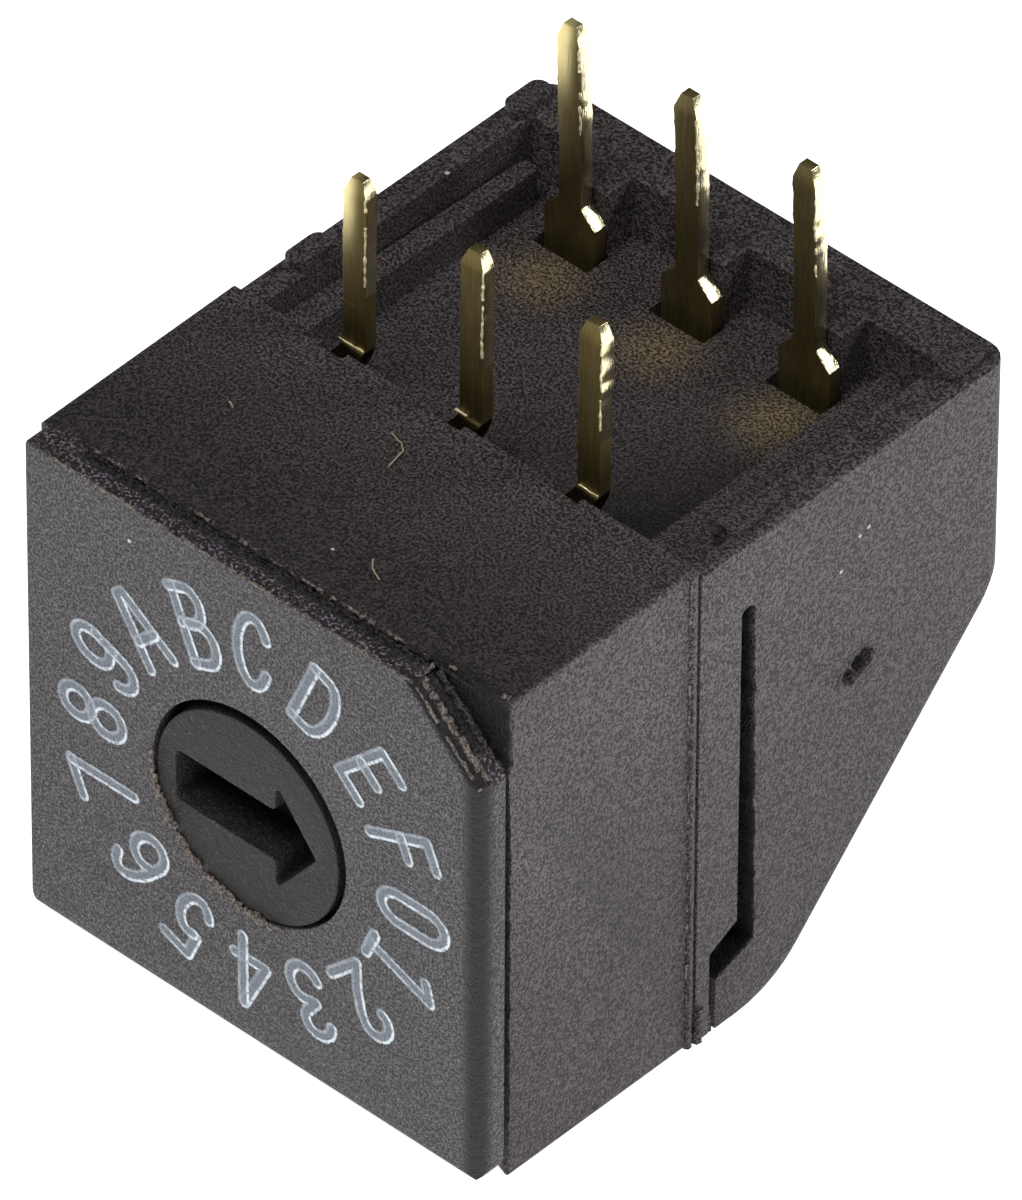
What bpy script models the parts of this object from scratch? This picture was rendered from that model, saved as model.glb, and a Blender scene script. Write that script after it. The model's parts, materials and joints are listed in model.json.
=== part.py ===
# Right-angle rotary DIP switch with sixteen positions and six pins.
# Frame: X to the right of the dial, Y into the depth, Z up towards the pin tips.
# Depths are counted from the dial plate's front, and at the end everything moves
# forward by half the depth, so that the origin is under the middle of the base.
# All sizes are in millimetres, and MM turns them into metres.
import bpy
import bmesh
import math
from mathutils import Matrix, Vector

MM = 0.001

# Fits
SEAT_GAP = 0.03
RUNNING_GAP = 0.05
CUT_OVER = 1.0

# Dial plate
PLATE_WIDTH = 9.88
PLATE_SHIFT = 0.1
PLATE_HEIGHT = 9.93
PLATE_LIFT = 0.27
PLATE_THICKNESS = 0.57
PLATE_CORNER = 0.3
PLATE_TOP_CORNER = 0.1
PLATE_EDGE_ROUND = 0.07
PLATE_SIDE_ROUND = 0.3
PLATE_BASE_ROUND = 0.2
CUT_CORNER = 1.46
PEG_RADIUS = 0.4
PEG_LENGTH = 0.5
PEG_INSET = 1.3

# Switch body, whose front leans back a little towards its right side
BODY_WIDTH = 10.08
BODY_HEIGHT = 10.16
BODY_REAR = 5.03
BODY_STAND_OFF = 0.12
BODY_LEAN = 0.12
BODY_EDGE = 0.08
BODY_CORNER = 0.3
BODY_DRAFT = 0.03
BODY_WALL = 0.8

# Rotor
AXIS_RISE = 0.02
HEAD_RADIUS = 2.05
HEAD_RECESS = 0.13
HEAD_EDGE = 0.08
NECK_RADIUS = 1.9
SEAL_THICKNESS = 0.76
SEAL_SEAT_DEPTH = 1.05
SEAL_PLAY = 0.1
SEAL_POCKET_DEPTH = 0.53
FLANGE_PLAY = 0.3
FLANGE_THICKNESS = 1.13
BOSS_RADIUS = 1.05
BOSS_HEIGHT = 0.2
PIVOT_RADIUS = 0.7
PIVOT_SHORTFALL = 0.15
POSITIONS = 16
NOTCH_DEPTH = 0.18
NOTCH_WIDTH = 0.56
NOTCH_LENGTH = 0.9

# Arrow sunk in the rotor head, pointing along X
ARROW_DEPTH = 0.75
ARROW_TAIL = 1.56
ARROW_NECK = 0.62
ARROW_TIP = 1.49
ARROW_SHAFT_HALF = 0.52
ARROW_HEAD_HALF = 1.12
ARROW_ROUND = 0.12

# Detent spring
SPRING_THICKNESS = 0.12
SPRING_WIDTH = 0.75
SPRING_PLAY = 0.1
SPRING_BUMP = 0.08
SPRING_WAVES = 2

# Contact wiper
WIPER_THICKNESS = 0.12
WIPER_HUB_RADIUS = 1.75
FINGER_WIDTH = 0.34
WIPER_BAR_WIDTH = 0.6
WIPER_BAR_OFFSET = 1.5
WIPER_OVERLAP = 0.2
FINGER_FOOT = 0.25
FINGER_CURL = 0.08
FINGER_LIFT = 0.3

# Contact base and its rings
BASE_THICKNESS = 0.85
RING_SINK = 0.08
RING_THICKNESS = 0.14
PAD_HEIGHT = 0.12
PAD_RAMP = 0.06
RING_WIDTH = 0.36
COMMON_RING_RADIUS = 1.2
RING_STEP_SHARE = 0.2165

# Pins and leads
PIN_PITCH = 2.54
ROW_PITCH = 5.08
PIN_SHIFT = -0.25
FRONT_ROW_SETBACK = 0.56
PIN_RISE = 3.22
PIN_WIDTH = 0.48
PIN_THICKNESS = 0.27
TIP_LENGTH = 0.3
TIP_FLAT = 0.24
TIP_THINNING = 0.7
LEAD_COVER = 0.18
LEAD_BEND = 0.25
LEAD_SINK = 0.44
REAR_LEAD_RISE = 1.2
REAR_JOG_RISE = 0.5
NUB_RISE = 0.58
NUB_SIZE = 0.05
SHOULDER_WIDTH = 1.1
SHOULDER_RISE = 0.965
SHOULDER_DEPTH = 0.65

# Rear cover
COVER_REAR = 12.41
COVER_OFFSET = 0.03
RIM_STEP = 0.19
RIM_LEFT = 0.54
RIM_RIGHT = 0.68
REAR_WALL = 0.935
FLOOR_DROP = 1.215
FLOOR_THICKNESS = 0.8
COVER_WALL = 0.8
COVER_CORNER = 0.45
BASE_LENGTH = 7.25
BACK_SLOPE = math.radians(46)
BASE_BEND = 1.8
BACK_BEND = 1.0
RAIL_RISE = 0.69
RAIL_WIDTH_LEFT = 0.55
RAIL_WIDTH_RIGHT = 0.9
RAIL_TAPER = 0.2
RAIL_END_GAP = 0.37
BLOCK_WIDTH = 1.02
SLOT_MARGIN = 0.05
SLOT_REACH = 0.24
BUMP_LENGTH = 0.9
BUMP_WIDTH = 0.42
BUMP_HEIGHT = 0.22
BUMP_ROUNDING = 0.95
BUMP_INSET_LEFT = 0.3
BUMP_INSET_RIGHT = 0.4
FRONT_BUMP_SETBACK = 1.45
REAR_BUMP_INSET = 0.75
RIM_NOTCH_START = 0.15
RIM_NOTCH_LENGTH = 0.9
RIM_NOTCH_WIDTH = 0.38
RIM_NOTCH_DEPTH = 0.35

# Slit that frees the snap arm in each side wall
SLIT_START = 1.0
SLIT_WIDTH = 0.3
SLIT_TOP = 8.65
SLIT_BOTTOM = 1.38
SLIT_LEAVE = 0.35
SLIT_ROUNDING = 0.45

# Terminal carrier
CARRIER_DEPTH = 0.8
CARRIER_TAIL = 0.4
RIB_WIDTH = 0.3
RIB_HEIGHT = 0.35

# Finish of the curves
ARC_STEPS = 5
ROUND_SEGMENTS = 64
SEAL_SIDES = 12
SMALLEST_RADIUS = 0.03


def clear_scene():
    for thing in list(bpy.data.objects):
        bpy.data.objects.remove(thing, do_unlink=True)


def material(name, colour, roughness, metallic=0.0):
    made = bpy.data.materials.new(name)
    made.use_nodes = True
    shader = made.node_tree.nodes["Principled BSDF"]
    shader.inputs["Base Color"].default_value = (*colour, 1.0)
    shader.inputs["Roughness"].default_value = roughness
    shader.inputs["Metallic"].default_value = metallic
    return made


def new_object(name, mesh_data, finish=None):
    mesh = bpy.data.meshes.new(name)
    mesh_data.to_mesh(mesh)
    mesh_data.free()
    thing = bpy.data.objects.new(name, mesh)
    bpy.context.scene.collection.objects.link(thing)
    if finish is not None:
        mesh.materials.append(finish)
    return thing


def loft(name, sections, finish=None, ring=False):
    """Skin equal rows of (x, y, z) points; a ring joins the last row to the first."""
    work = bmesh.new()
    rows = []
    for section in sections:
        rows.append([work.verts.new(Vector(point) * MM) for point in section])
    pairs = list(zip(rows, rows[1:]))
    if ring:
        pairs.append((rows[-1], rows[0]))
    for first, second in pairs:
        count = len(first)
        for i in range(count):
            j = (i + 1) % count
            work.faces.new((first[i], first[j], second[j], second[i]))
    if not ring:
        work.faces.new(rows[0])
        work.faces.new(rows[-1])
    bmesh.ops.recalc_face_normals(work, faces=work.faces)
    return new_object(name, work, finish)


def rounded_outline(corners, inset=0.0, steps=ARC_STEPS):
    """Points of a polygon given anticlockwise as (u, v, radius), moved in by inset."""
    points = []
    count = len(corners)
    for i in range(count):
        before = Vector(corners[i - 1][:2])
        here = Vector(corners[i][:2])
        after = Vector(corners[(i + 1) % count][:2])
        arriving = (here - before).normalized()
        leaving = (after - here).normalized()
        left_in = Vector((-arriving.y, arriving.x))
        left_out = Vector((-leaving.y, leaving.x))
        corner = here + inset * (left_in + left_out) / (1.0 + left_in.dot(left_out))
        turn = math.atan2(arriving.x * leaving.y - arriving.y * leaving.x, arriving.dot(leaving))
        side = 1.0 if turn > 0 else -1.0
        radius = corners[i][2] - side * inset
        if corners[i][2] <= 0.0:
            points.append(corner)
            continue
        radius = max(radius, SMALLEST_RADIUS)
        start = corner - arriving * radius * math.tan(abs(turn) / 2)
        centre = start + left_in * side * radius
        for step in range(steps + 1):
            swing = Matrix.Rotation(turn * step / steps, 2)
            points.append(centre + swing @ (start - centre))
    return points


def rectangle(left, right, bottom, top, radius=0.0):
    return [(left, bottom, radius), (right, bottom, radius), (right, top, radius), (left, top, radius)]


def prism(name, outline, axis, start, end, finish=None):
    """Push a flat outline along X, Y or Z."""
    place = {
        "X": lambda u, v, w: (w, u, v),
        "Y": lambda u, v, w: (u, w, v),
        "Z": lambda u, v, w: (u, v, w),
    }[axis]
    sections = [[place(u, v, w) for u, v in outline] for w in (start, end)]
    return loft(name, sections, finish)


def block(name, x_span, y_span, z_span, finish=None):
    outline = rounded_outline(rectangle(*x_span, *z_span))
    return prism(name, outline, "Y", y_span[0], y_span[1], finish)


def turned(name, profile, finish=None, height=None, segments=ROUND_SEGMENTS):
    """Spin (radius, depth) points about the rotor's axis, which runs along Y."""
    work = bmesh.new()
    chain = [work.verts.new((radius * MM, depth * MM, 0.0)) for radius, depth in profile]
    edges = [work.edges.new(pair) for pair in zip(chain, chain[1:])]
    bmesh.ops.spin(
        work,
        geom=chain + edges,
        axis=(0.0, 1.0, 0.0),
        cent=(0.0, 0.0, 0.0),
        angle=math.tau,
        steps=segments,
        use_duplicate=False,
    )
    bmesh.ops.remove_doubles(work, verts=work.verts, dist=1e-7)
    bmesh.ops.recalc_face_normals(work, faces=work.faces)
    lift = axis_height() if height is None else height
    bmesh.ops.translate(work, verts=work.verts, vec=(0.0, 0.0, lift * MM))
    return new_object(name, work, finish)


def combine(target, tool, operation):
    """Boolean the tool into the target and throw the tool away."""
    change = target.modifiers.new(operation, "BOOLEAN")
    change.operation = operation
    change.solver = "EXACT"
    change.object = tool
    depsgraph = bpy.context.evaluated_depsgraph_get()
    result = bpy.data.meshes.new_from_object(target.evaluated_get(depsgraph))
    target.modifiers.remove(change)
    target.data = result
    bpy.data.objects.remove(tool, do_unlink=True)


def cut(target, tool):
    combine(target, tool, "DIFFERENCE")


def add(target, tool):
    combine(target, tool, "UNION")


def smooth(thing, degrees=35):
    thing.data.shade_smooth()
    thing.data.set_sharp_from_angle(angle=math.radians(degrees))


def axis_height():
    return BODY_HEIGHT / 2 + AXIS_RISE


def cavity_half():
    return BODY_WIDTH / 2 - BODY_WALL


def flange_radius():
    return cavity_half() - FLANGE_PLAY


def flange_front():
    return SEAL_SEAT_DEPTH + SEAL_THICKNESS + 2 * SEAT_GAP + SEAL_PLAY


def flange_rear():
    return flange_front() + FLANGE_THICKNESS


def base_rear():
    return BODY_REAR - SEAT_GAP


def base_front():
    return base_rear() - BASE_THICKNESS


def ring_front():
    return base_front() + RING_SINK


def lead_depth():
    """Middle of the sheet-metal leads where they run up the contact base."""
    return base_rear() - LEAD_COVER - PIN_THICKNESS / 2


def front_lead_height():
    return BODY_HEIGHT - LEAD_SINK


def rear_lead_height():
    return axis_height() + REAR_LEAD_RISE


def front_row_depth():
    return BODY_REAR + FRONT_ROW_SETBACK


def rear_row_depth():
    return front_row_depth() + ROW_PITCH


def tip_height():
    return BODY_HEIGHT + PIN_RISE


def rim_height():
    return BODY_HEIGHT - RIM_STEP


def floor_height():
    return rim_height() - FLOOR_DROP


def floor_bottom():
    return floor_height() - FLOOR_THICKNESS


def recess_rear():
    return COVER_REAR - REAR_WALL


def carrier_bottom():
    return rear_lead_height() - CARRIER_DEPTH


def carrier_rear():
    return rear_row_depth() + PIN_THICKNESS / 2 + CARRIER_TAIL


def pin_x(column):
    return PIN_SHIFT + column * PIN_PITCH


def plate_rear():
    return PLATE_THICKNESS


def body_front():
    return plate_rear() + BODY_STAND_OFF


def body_front_at(x):
    return body_front() + BODY_LEAN * (x / BODY_WIDTH + 0.5)


def peg_places():
    reach = PLATE_WIDTH / 2 - PEG_INSET
    height = PLATE_LIFT + PEG_INSET
    return [(PLATE_SHIFT - reach, height), (PLATE_SHIFT + reach, height)]


def edge_cutter(edge, radius, axis):
    """What is cut away to round the plate's front edge on its right or its bottom."""
    side = 1.0 if edge > 0 and axis == "Z" else -1.0
    points = []
    for step in range(ARC_STEPS + 1):
        angle = math.pi / 2 * step / ARC_STEPS
        points.append((edge - side * radius * (1 - math.sin(angle)), radius * (1 - math.cos(angle))))
    points.append((edge + side * CUT_OVER, radius))
    points.append((edge + side * CUT_OVER, -CUT_OVER))
    points.append((edge - side * radius, -CUT_OVER))
    reach = PLATE_WIDTH + PLATE_HEIGHT
    if axis == "X":
        points = [(depth, across) for across, depth in points]
    return prism("edge_cutter", points, axis, -reach, reach)


def make_dial_plate(finish):
    left = PLATE_SHIFT - PLATE_WIDTH / 2
    right = PLATE_SHIFT + PLATE_WIDTH / 2
    top = PLATE_LIFT + PLATE_HEIGHT
    corners = [
        (left, PLATE_LIFT, PLATE_CORNER),
        (right, PLATE_LIFT, PLATE_CORNER),
        (right, top - CUT_CORNER, PLATE_TOP_CORNER),
        (right - CUT_CORNER, top, PLATE_TOP_CORNER),
        (left, top, PLATE_TOP_CORNER),
    ]
    sections = []
    for step in range(ARC_STEPS):
        angle = math.pi / 2 * step / (ARC_STEPS - 1)
        depth = PLATE_EDGE_ROUND * (1 - math.sin(angle))
        inset = PLATE_EDGE_ROUND * (1 - math.cos(angle))
        sections.append((depth, inset))
    sections.reverse()
    sections.append((plate_rear(), 0.0))
    rows = [[(x, depth, z) for x, z in rounded_outline(corners, inset)] for depth, inset in sections]
    plate = loft("dial_plate", rows, finish)
    cut(plate, edge_cutter(right, PLATE_SIDE_ROUND, "Z"))
    cut(plate, edge_cutter(PLATE_LIFT, PLATE_BASE_ROUND, "X"))
    hole = HEAD_RADIUS + RUNNING_GAP
    through = plate_rear() + CUT_OVER
    cut(plate, turned("hole", [(0, -CUT_OVER), (hole, -CUT_OVER), (hole, through), (0, through)]))
    for x, z in peg_places():
        start = plate_rear() - PEG_LENGTH / 2
        end = plate_rear() + PEG_LENGTH
        peg = turned("peg", [(0, start), (PEG_RADIUS, start), (PEG_RADIUS, end), (0, end)], None, z, 16)
        peg.location.x = x * MM
        add(plate, peg)
    smooth(plate)
    return plate


def lead_starts():
    """Each terminal's pin column, pin row and ring number, counted from the inmost ring."""
    return {
        "terminal_code_1": (-1, "front", 4),
        "terminal_code_2": (1, "front", 3),
        "terminal_code_4": (-1, "rear", 2),
        "terminal_code_8": (1, "rear", 1),
        "terminal_common": (0, "front", 0),
    }


def ring_radius(number):
    """The rings' spacing is a share of the pin pitch, so that their leads reach the pins."""
    return COMMON_RING_RADIUS + number * PIN_PITCH * RING_STEP_SHARE


def riser_place(column, row, number):
    """Point (x, z) where a riser joins its ring."""
    radius = ring_radius(number)
    if row == "front":
        x = pin_x(column)
        return x, axis_height() + math.sqrt(radius ** 2 - x ** 2)
    z = axis_height() + REAR_JOG_RISE
    x = math.sqrt(radius ** 2 - (z - axis_height()) ** 2)
    return math.copysign(x, column), z


def body_cavity_front():
    return SEAL_SEAT_DEPTH + SEAL_POCKET_DEPTH


def make_switch_body(finish):
    half = BODY_WIDTH / 2
    slim = half - BODY_DRAFT
    front_corners = rectangle(-slim, slim, 0.0, BODY_HEIGHT - BODY_DRAFT, BODY_EDGE)
    rear_corners = rectangle(-half, half, 0.0, BODY_HEIGHT, BODY_EDGE)
    front = [(x, body_front_at(x), z) for x, z in rounded_outline(front_corners)]
    rear = [(x, BODY_REAR, z) for x, z in rounded_outline(rear_corners)]
    body = loft("switch_body", [front, rear], finish)
    inner = cavity_half()
    cavity = rounded_outline(rectangle(-inner, inner, BODY_WALL, BODY_HEIGHT - BODY_WALL, BODY_CORNER))
    cut(body, prism("cavity", cavity, "Y", body_cavity_front(), BODY_REAR + CUT_OVER))
    bore = HEAD_RADIUS + RUNNING_GAP
    seat = NECK_RADIUS + SEAL_THICKNESS + 2 * SEAT_GAP
    rear_end = body_cavity_front() + CUT_OVER
    profile = [(0, -CUT_OVER), (bore, -CUT_OVER), (bore, SEAL_SEAT_DEPTH), (seat, SEAL_SEAT_DEPTH)]
    profile += [(seat, rear_end), (0, rear_end)]
    cut(body, turned("bore", profile))
    for x, z in peg_places():
        radius = PEG_RADIUS + RUNNING_GAP
        end = plate_rear() + PEG_LENGTH + RUNNING_GAP
        hole = turned("peg_hole", [(0, 0), (radius, 0), (radius, end), (0, end)], None, z, 16)
        hole.location.x = x * MM
        cut(body, hole)
    lead_half = PIN_WIDTH / 2 + SEAT_GAP
    lead_top = front_lead_height() + PIN_THICKNESS / 2 + SEAT_GAP
    lead_front = lead_depth() - PIN_THICKNESS / 2 - SEAT_GAP
    mouth_front = BODY_REAR - PIN_THICKNESS / 2
    outside = BODY_REAR + CUT_OVER
    below = BODY_HEIGHT - BODY_WALL - CUT_OVER
    for column in (-1, 0, 1):
        span = (pin_x(column) - lead_half, pin_x(column) + lead_half)
        cut(body, block("passage", span, (lead_front, outside), (below, lead_top)))
        cut(body, block("mouth", span, (mouth_front, outside), (below, BODY_HEIGHT + CUT_OVER)))
    smooth(body)
    return body


def arrow_outline():
    middle = axis_height()
    corners = [
        (-ARROW_TAIL, middle - ARROW_SHAFT_HALF, ARROW_ROUND),
        (ARROW_NECK, middle - ARROW_SHAFT_HALF, ARROW_ROUND),
        (ARROW_NECK, middle - ARROW_HEAD_HALF, ARROW_ROUND / 2),
        (ARROW_TIP, middle, ARROW_ROUND / 2),
        (ARROW_NECK, middle + ARROW_HEAD_HALF, ARROW_ROUND / 2),
        (ARROW_NECK, middle + ARROW_SHAFT_HALF, ARROW_ROUND),
        (-ARROW_TAIL, middle + ARROW_SHAFT_HALF, ARROW_ROUND),
    ]
    return rounded_outline(corners, 0.0, 3)


def make_notches():
    """Sixteen V grooves in one body of separate wedges."""
    work = bmesh.new()
    reach = flange_radius() + CUT_OVER
    for position in range(POSITIONS):
        swing = Matrix.Rotation(math.tau * position / POSITIONS, 3, "Y")
        rows = []
        for radius in (flange_radius() - NOTCH_LENGTH, reach):
            points = [
                (radius, flange_front() + NOTCH_DEPTH, 0.0),
                (radius, flange_front() - NOTCH_DEPTH, NOTCH_WIDTH),
                (radius, flange_front() - NOTCH_DEPTH, -NOTCH_WIDTH),
            ]
            rows.append([work.verts.new((swing @ Vector(point)) * MM) for point in points])
        for i in range(3):
            j = (i + 1) % 3
            work.faces.new((rows[0][i], rows[0][j], rows[1][j], rows[1][i]))
        work.faces.new(rows[0])
        work.faces.new(rows[1])
    bmesh.ops.recalc_face_normals(work, faces=work.faces)
    bmesh.ops.translate(work, verts=work.verts, vec=(0.0, 0.0, axis_height() * MM))
    return new_object("notches", work)


def make_rotor(finish):
    edge = HEAD_EDGE
    pivot_end = base_rear() - PIVOT_SHORTFALL
    profile = [
        (0, HEAD_RECESS),
        (HEAD_RADIUS - edge, HEAD_RECESS),
        (HEAD_RADIUS, HEAD_RECESS + edge),
        (HEAD_RADIUS, SEAL_SEAT_DEPTH),
        (NECK_RADIUS, SEAL_SEAT_DEPTH),
        (NECK_RADIUS, flange_front()),
        (flange_radius(), flange_front()),
        (flange_radius(), flange_rear()),
        (BOSS_RADIUS, flange_rear()),
        (BOSS_RADIUS, flange_rear() + BOSS_HEIGHT),
        (PIVOT_RADIUS, flange_rear() + BOSS_HEIGHT),
        (PIVOT_RADIUS, pivot_end - edge),
        (PIVOT_RADIUS - edge, pivot_end),
        (0, pivot_end),
    ]
    rotor = turned("rotor", profile, finish)
    cut(rotor, make_notches())
    cut(rotor, prism("arrow", arrow_outline(), "Y", -CUT_OVER, HEAD_RECESS + ARROW_DEPTH))
    centre = Vector((0.0, 0.0, axis_height() * MM))
    rotor.data.transform(Matrix.Translation(-centre))
    rotor.location = centre
    smooth(rotor)
    return rotor


def make_rotor_seal(finish):
    tube = SEAL_THICKNESS / 2
    centre = NECK_RADIUS + SEAT_GAP + tube
    depth = SEAL_SEAT_DEPTH + SEAT_GAP + tube
    profile = []
    for step in range(SEAL_SIDES + 1):
        angle = math.tau * step / SEAL_SIDES
        profile.append((centre + tube * math.cos(angle), depth + tube * math.sin(angle)))
    seal = turned("rotor_seal", profile, finish)
    seal.data.shade_smooth()
    return seal


def ring_section(angle, inner, outer, front, rear):
    """Four corners of a ring's cross-section at one angle round the axis."""
    across = math.cos(angle)
    upward = math.sin(angle)
    corners = [(inner, front), (outer, front), (outer, rear), (inner, rear)]
    return [(radius * across, depth, axis_height() + radius * upward) for radius, depth in corners]


def make_detent_spring(finish):
    outer = flange_radius() - SPRING_PLAY
    inner = outer - SPRING_WIDTH
    rest = body_cavity_front() + SEAT_GAP
    crest = flange_front() - RUNNING_GAP - SPRING_THICKNESS
    swing = crest - SPRING_BUMP - rest
    bump_spread = math.radians(4)
    steps = ROUND_SEGMENTS * 2
    rows = []
    for step in range(steps):
        angle = math.tau * step / steps
        lift = swing * (1 - math.cos(SPRING_WAVES * angle)) / 2
        nearest = (angle - math.pi / 2 + math.pi / 2) % math.pi - math.pi / 2
        lift += SPRING_BUMP * math.exp(-((nearest / bump_spread) ** 2))
        front = rest + lift
        rows.append(ring_section(angle, inner, outer, front, front + SPRING_THICKNESS))
    spring = loft("detent_spring", rows, finish, ring=True)
    smooth(spring)
    return spring


def make_contact_wiper(finish):
    seat = flange_rear() + SEAT_GAP
    back = seat + WIPER_THICKNESS
    hole = BOSS_RADIUS + SEAT_GAP
    profile = [(hole, seat), (WIPER_HUB_RADIUS, seat), (WIPER_HUB_RADIUS, back), (hole, back), (hole, seat)]
    wiper = turned("contact_wiper", profile, finish)
    bar = (-WIPER_BAR_OFFSET - WIPER_BAR_WIDTH, -WIPER_BAR_OFFSET)
    low = axis_height() - ring_radius(4) - FINGER_WIDTH
    shoulder = axis_height() - BOSS_RADIUS - WIPER_OVERLAP
    outline = [(bar[0], low), (bar[1], low), (bar[1] + WIPER_BAR_WIDTH, shoulder)]
    outline += [(bar[1], axis_height()), (bar[0] + WIPER_BAR_WIDTH / 2, axis_height())]
    add(wiper, prism("bar", outline, "Y", seat, back))
    touch = ring_front() - PAD_HEIGHT - RUNNING_GAP - WIPER_THICKNESS
    for number in range(5):
        z = axis_height() - ring_radius(number)
        run = [(bar[1] - WIPER_OVERLAP, seat), (bar[1] + FINGER_CURL, seat)]
        run += [(-FINGER_FOOT, touch - FINGER_CURL), (0.0, touch), (FINGER_FOOT, touch - FINGER_CURL)]
        run += [(2 * FINGER_FOOT, touch - FINGER_LIFT)]
        rows = []
        for x, y in run:
            rows.append([
                (x, y, z - FINGER_WIDTH / 2),
                (x, y, z + FINGER_WIDTH / 2),
                (x, y + WIPER_THICKNESS, z + FINGER_WIDTH / 2),
                (x, y + WIPER_THICKNESS, z - FINGER_WIDTH / 2),
            ])
        add(wiper, loft("finger", rows))
    centre = Vector((0.0, 0.0, axis_height() * MM))
    wiper.data.transform(Matrix.Translation(-centre))
    wiper.location = centre
    return wiper


def make_contact_base(finish):
    half = cavity_half() - SEAT_GAP
    bottom = BODY_WALL + SEAT_GAP
    top = BODY_HEIGHT - BODY_WALL - SEAT_GAP
    outline = rounded_outline(rectangle(-half, half, bottom, top, BODY_CORNER))
    base = prism("contact_base", outline, "Y", base_front(), base_rear(), finish)
    bearing = PIVOT_RADIUS + RUNNING_GAP
    outside = base_rear() + CUT_OVER
    cut(base, turned("bearing", [(0, 0), (bearing, 0), (bearing, outside), (0, outside)]))
    groove = RING_WIDTH / 2 + SEAT_GAP
    groove_rear = ring_front() + RING_THICKNESS + SEAT_GAP
    channel = lead_depth() - PIN_THICKNESS / 2 - SEAT_GAP
    lead_half = PIN_WIDTH / 2 + SEAT_GAP
    for column, row, number in lead_starts().values():
        inner = ring_radius(number) - groove
        outer = ring_radius(number) + groove
        before = base_front() - CUT_OVER
        profile = [(inner, before), (outer, before), (outer, groove_rear), (inner, groove_rear)]
        profile.append((inner, before))
        cut(base, turned("groove", profile))
        x, z = riser_place(column, row, number)
        riser = RING_WIDTH / 2 + SEAT_GAP
        depths = (groove_rear - RING_THICKNESS, outside)
        cut(base, block("riser_hole", (x - riser, x + riser), depths, (z - riser, z + riser)))
        span = (pin_x(column) - lead_half, pin_x(column) + lead_half)
        depths = (channel, outside)
        end = top + CUT_OVER if row == "front" else rear_lead_height() + PIN_THICKNESS / 2 + SEAT_GAP
        cut(base, block("channel", span, depths, (z - riser, end)))
        if row == "rear":
            sides = sorted((x, pin_x(column)))
            cut(base, block("jog_channel", tuple(sides), depths, (z - riser, z + riser)))
    return base


def code_has_pad(number, position):
    """A code ring has a pad where its bit is set; the common ring has one all round."""
    if number == 0:
        return True
    return bool(position & (1 << (4 - number)))


def make_ring(name, number, finish):
    """Contact ring with raised pads, made of short sections round the axis."""
    inner = ring_radius(number) - RING_WIDTH / 2
    outer = ring_radius(number) + RING_WIDTH / 2
    rear = ring_front() + RING_THICKNESS
    step = math.tau / POSITIONS
    ramp = step * PAD_RAMP
    rows = []
    for position in range(POSITIONS):
        front = ring_front() - PAD_HEIGHT if code_has_pad(number, position) else ring_front()
        start = -step * (position - 0.5)
        for share in (0.0, 1 / 3, 2 / 3, 1.0):
            angle = start - ramp - (step - 2 * ramp) * share
            rows.append(ring_section(angle, inner, outer, front, rear))
    return loft(name, rows, finish, ring=True)


def bend(path, corner, start_angle, turn, steps=ARC_STEPS):
    """Add a quarter bend to a lead's path of (depth, height) points."""
    for step in range(1, steps + 1):
        angle = start_angle + turn * step / steps
        path.append((corner[0] + LEAD_BEND * math.cos(angle), corner[1] + LEAD_BEND * math.sin(angle)))


def strip(name, x, path, finish=None):
    """Sheet-metal strip along (depth, height, half width, half thickness) points."""
    rows = []
    last = len(path) - 1
    for i, (depth, height, half, thin) in enumerate(path):
        before = Vector(path[max(i - 1, 0)][:2])
        after = Vector(path[min(i + 1, last)][:2])
        along = (after - before).normalized()
        side = Vector((-along.y, along.x)) * thin
        front = (depth + side.x, height + side.y)
        back = (depth - side.x, height - side.y)
        rows.append([(x - half, *front), (x + half, *front), (x + half, *back), (x - half, *back)])
    return loft(name, rows, finish)


def pin_top(depth):
    """The last stretch of a pin, chamfered to a small flat at its tip."""
    half = PIN_WIDTH / 2
    thin = PIN_THICKNESS / 2
    return [
        (depth, tip_height() - TIP_LENGTH, half, thin),
        (depth, tip_height(), TIP_FLAT / 2, thin * TIP_THINNING),
    ]


def front_lead(start):
    """From the base up, back over the body's edge and up to the tip."""
    half = PIN_WIDTH / 2
    thin = PIN_THICKNESS / 2
    path = [(lead_depth(), start)]
    path.append((lead_depth(), front_lead_height() - LEAD_BEND))
    bend(path, (lead_depth() + LEAD_BEND, front_lead_height() - LEAD_BEND), math.pi, -math.pi / 2)
    path.append((front_row_depth() - LEAD_BEND, front_lead_height()))
    bend(path, (front_row_depth() - LEAD_BEND, front_lead_height() + LEAD_BEND), -math.pi / 2, math.pi / 2)
    plain = [(depth, height, half, thin) for depth, height in path]
    nub = BODY_HEIGHT + NUB_RISE
    nub_rows = [
        (front_row_depth(), nub - NUB_SIZE, half, thin),
        (front_row_depth(), nub - NUB_SIZE / 2, half + NUB_SIZE, thin),
        (front_row_depth(), nub, half + NUB_SIZE, thin),
        (front_row_depth(), nub + NUB_SIZE / 2, half, thin),
    ]
    return plain + nub_rows + pin_top(front_row_depth())


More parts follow.
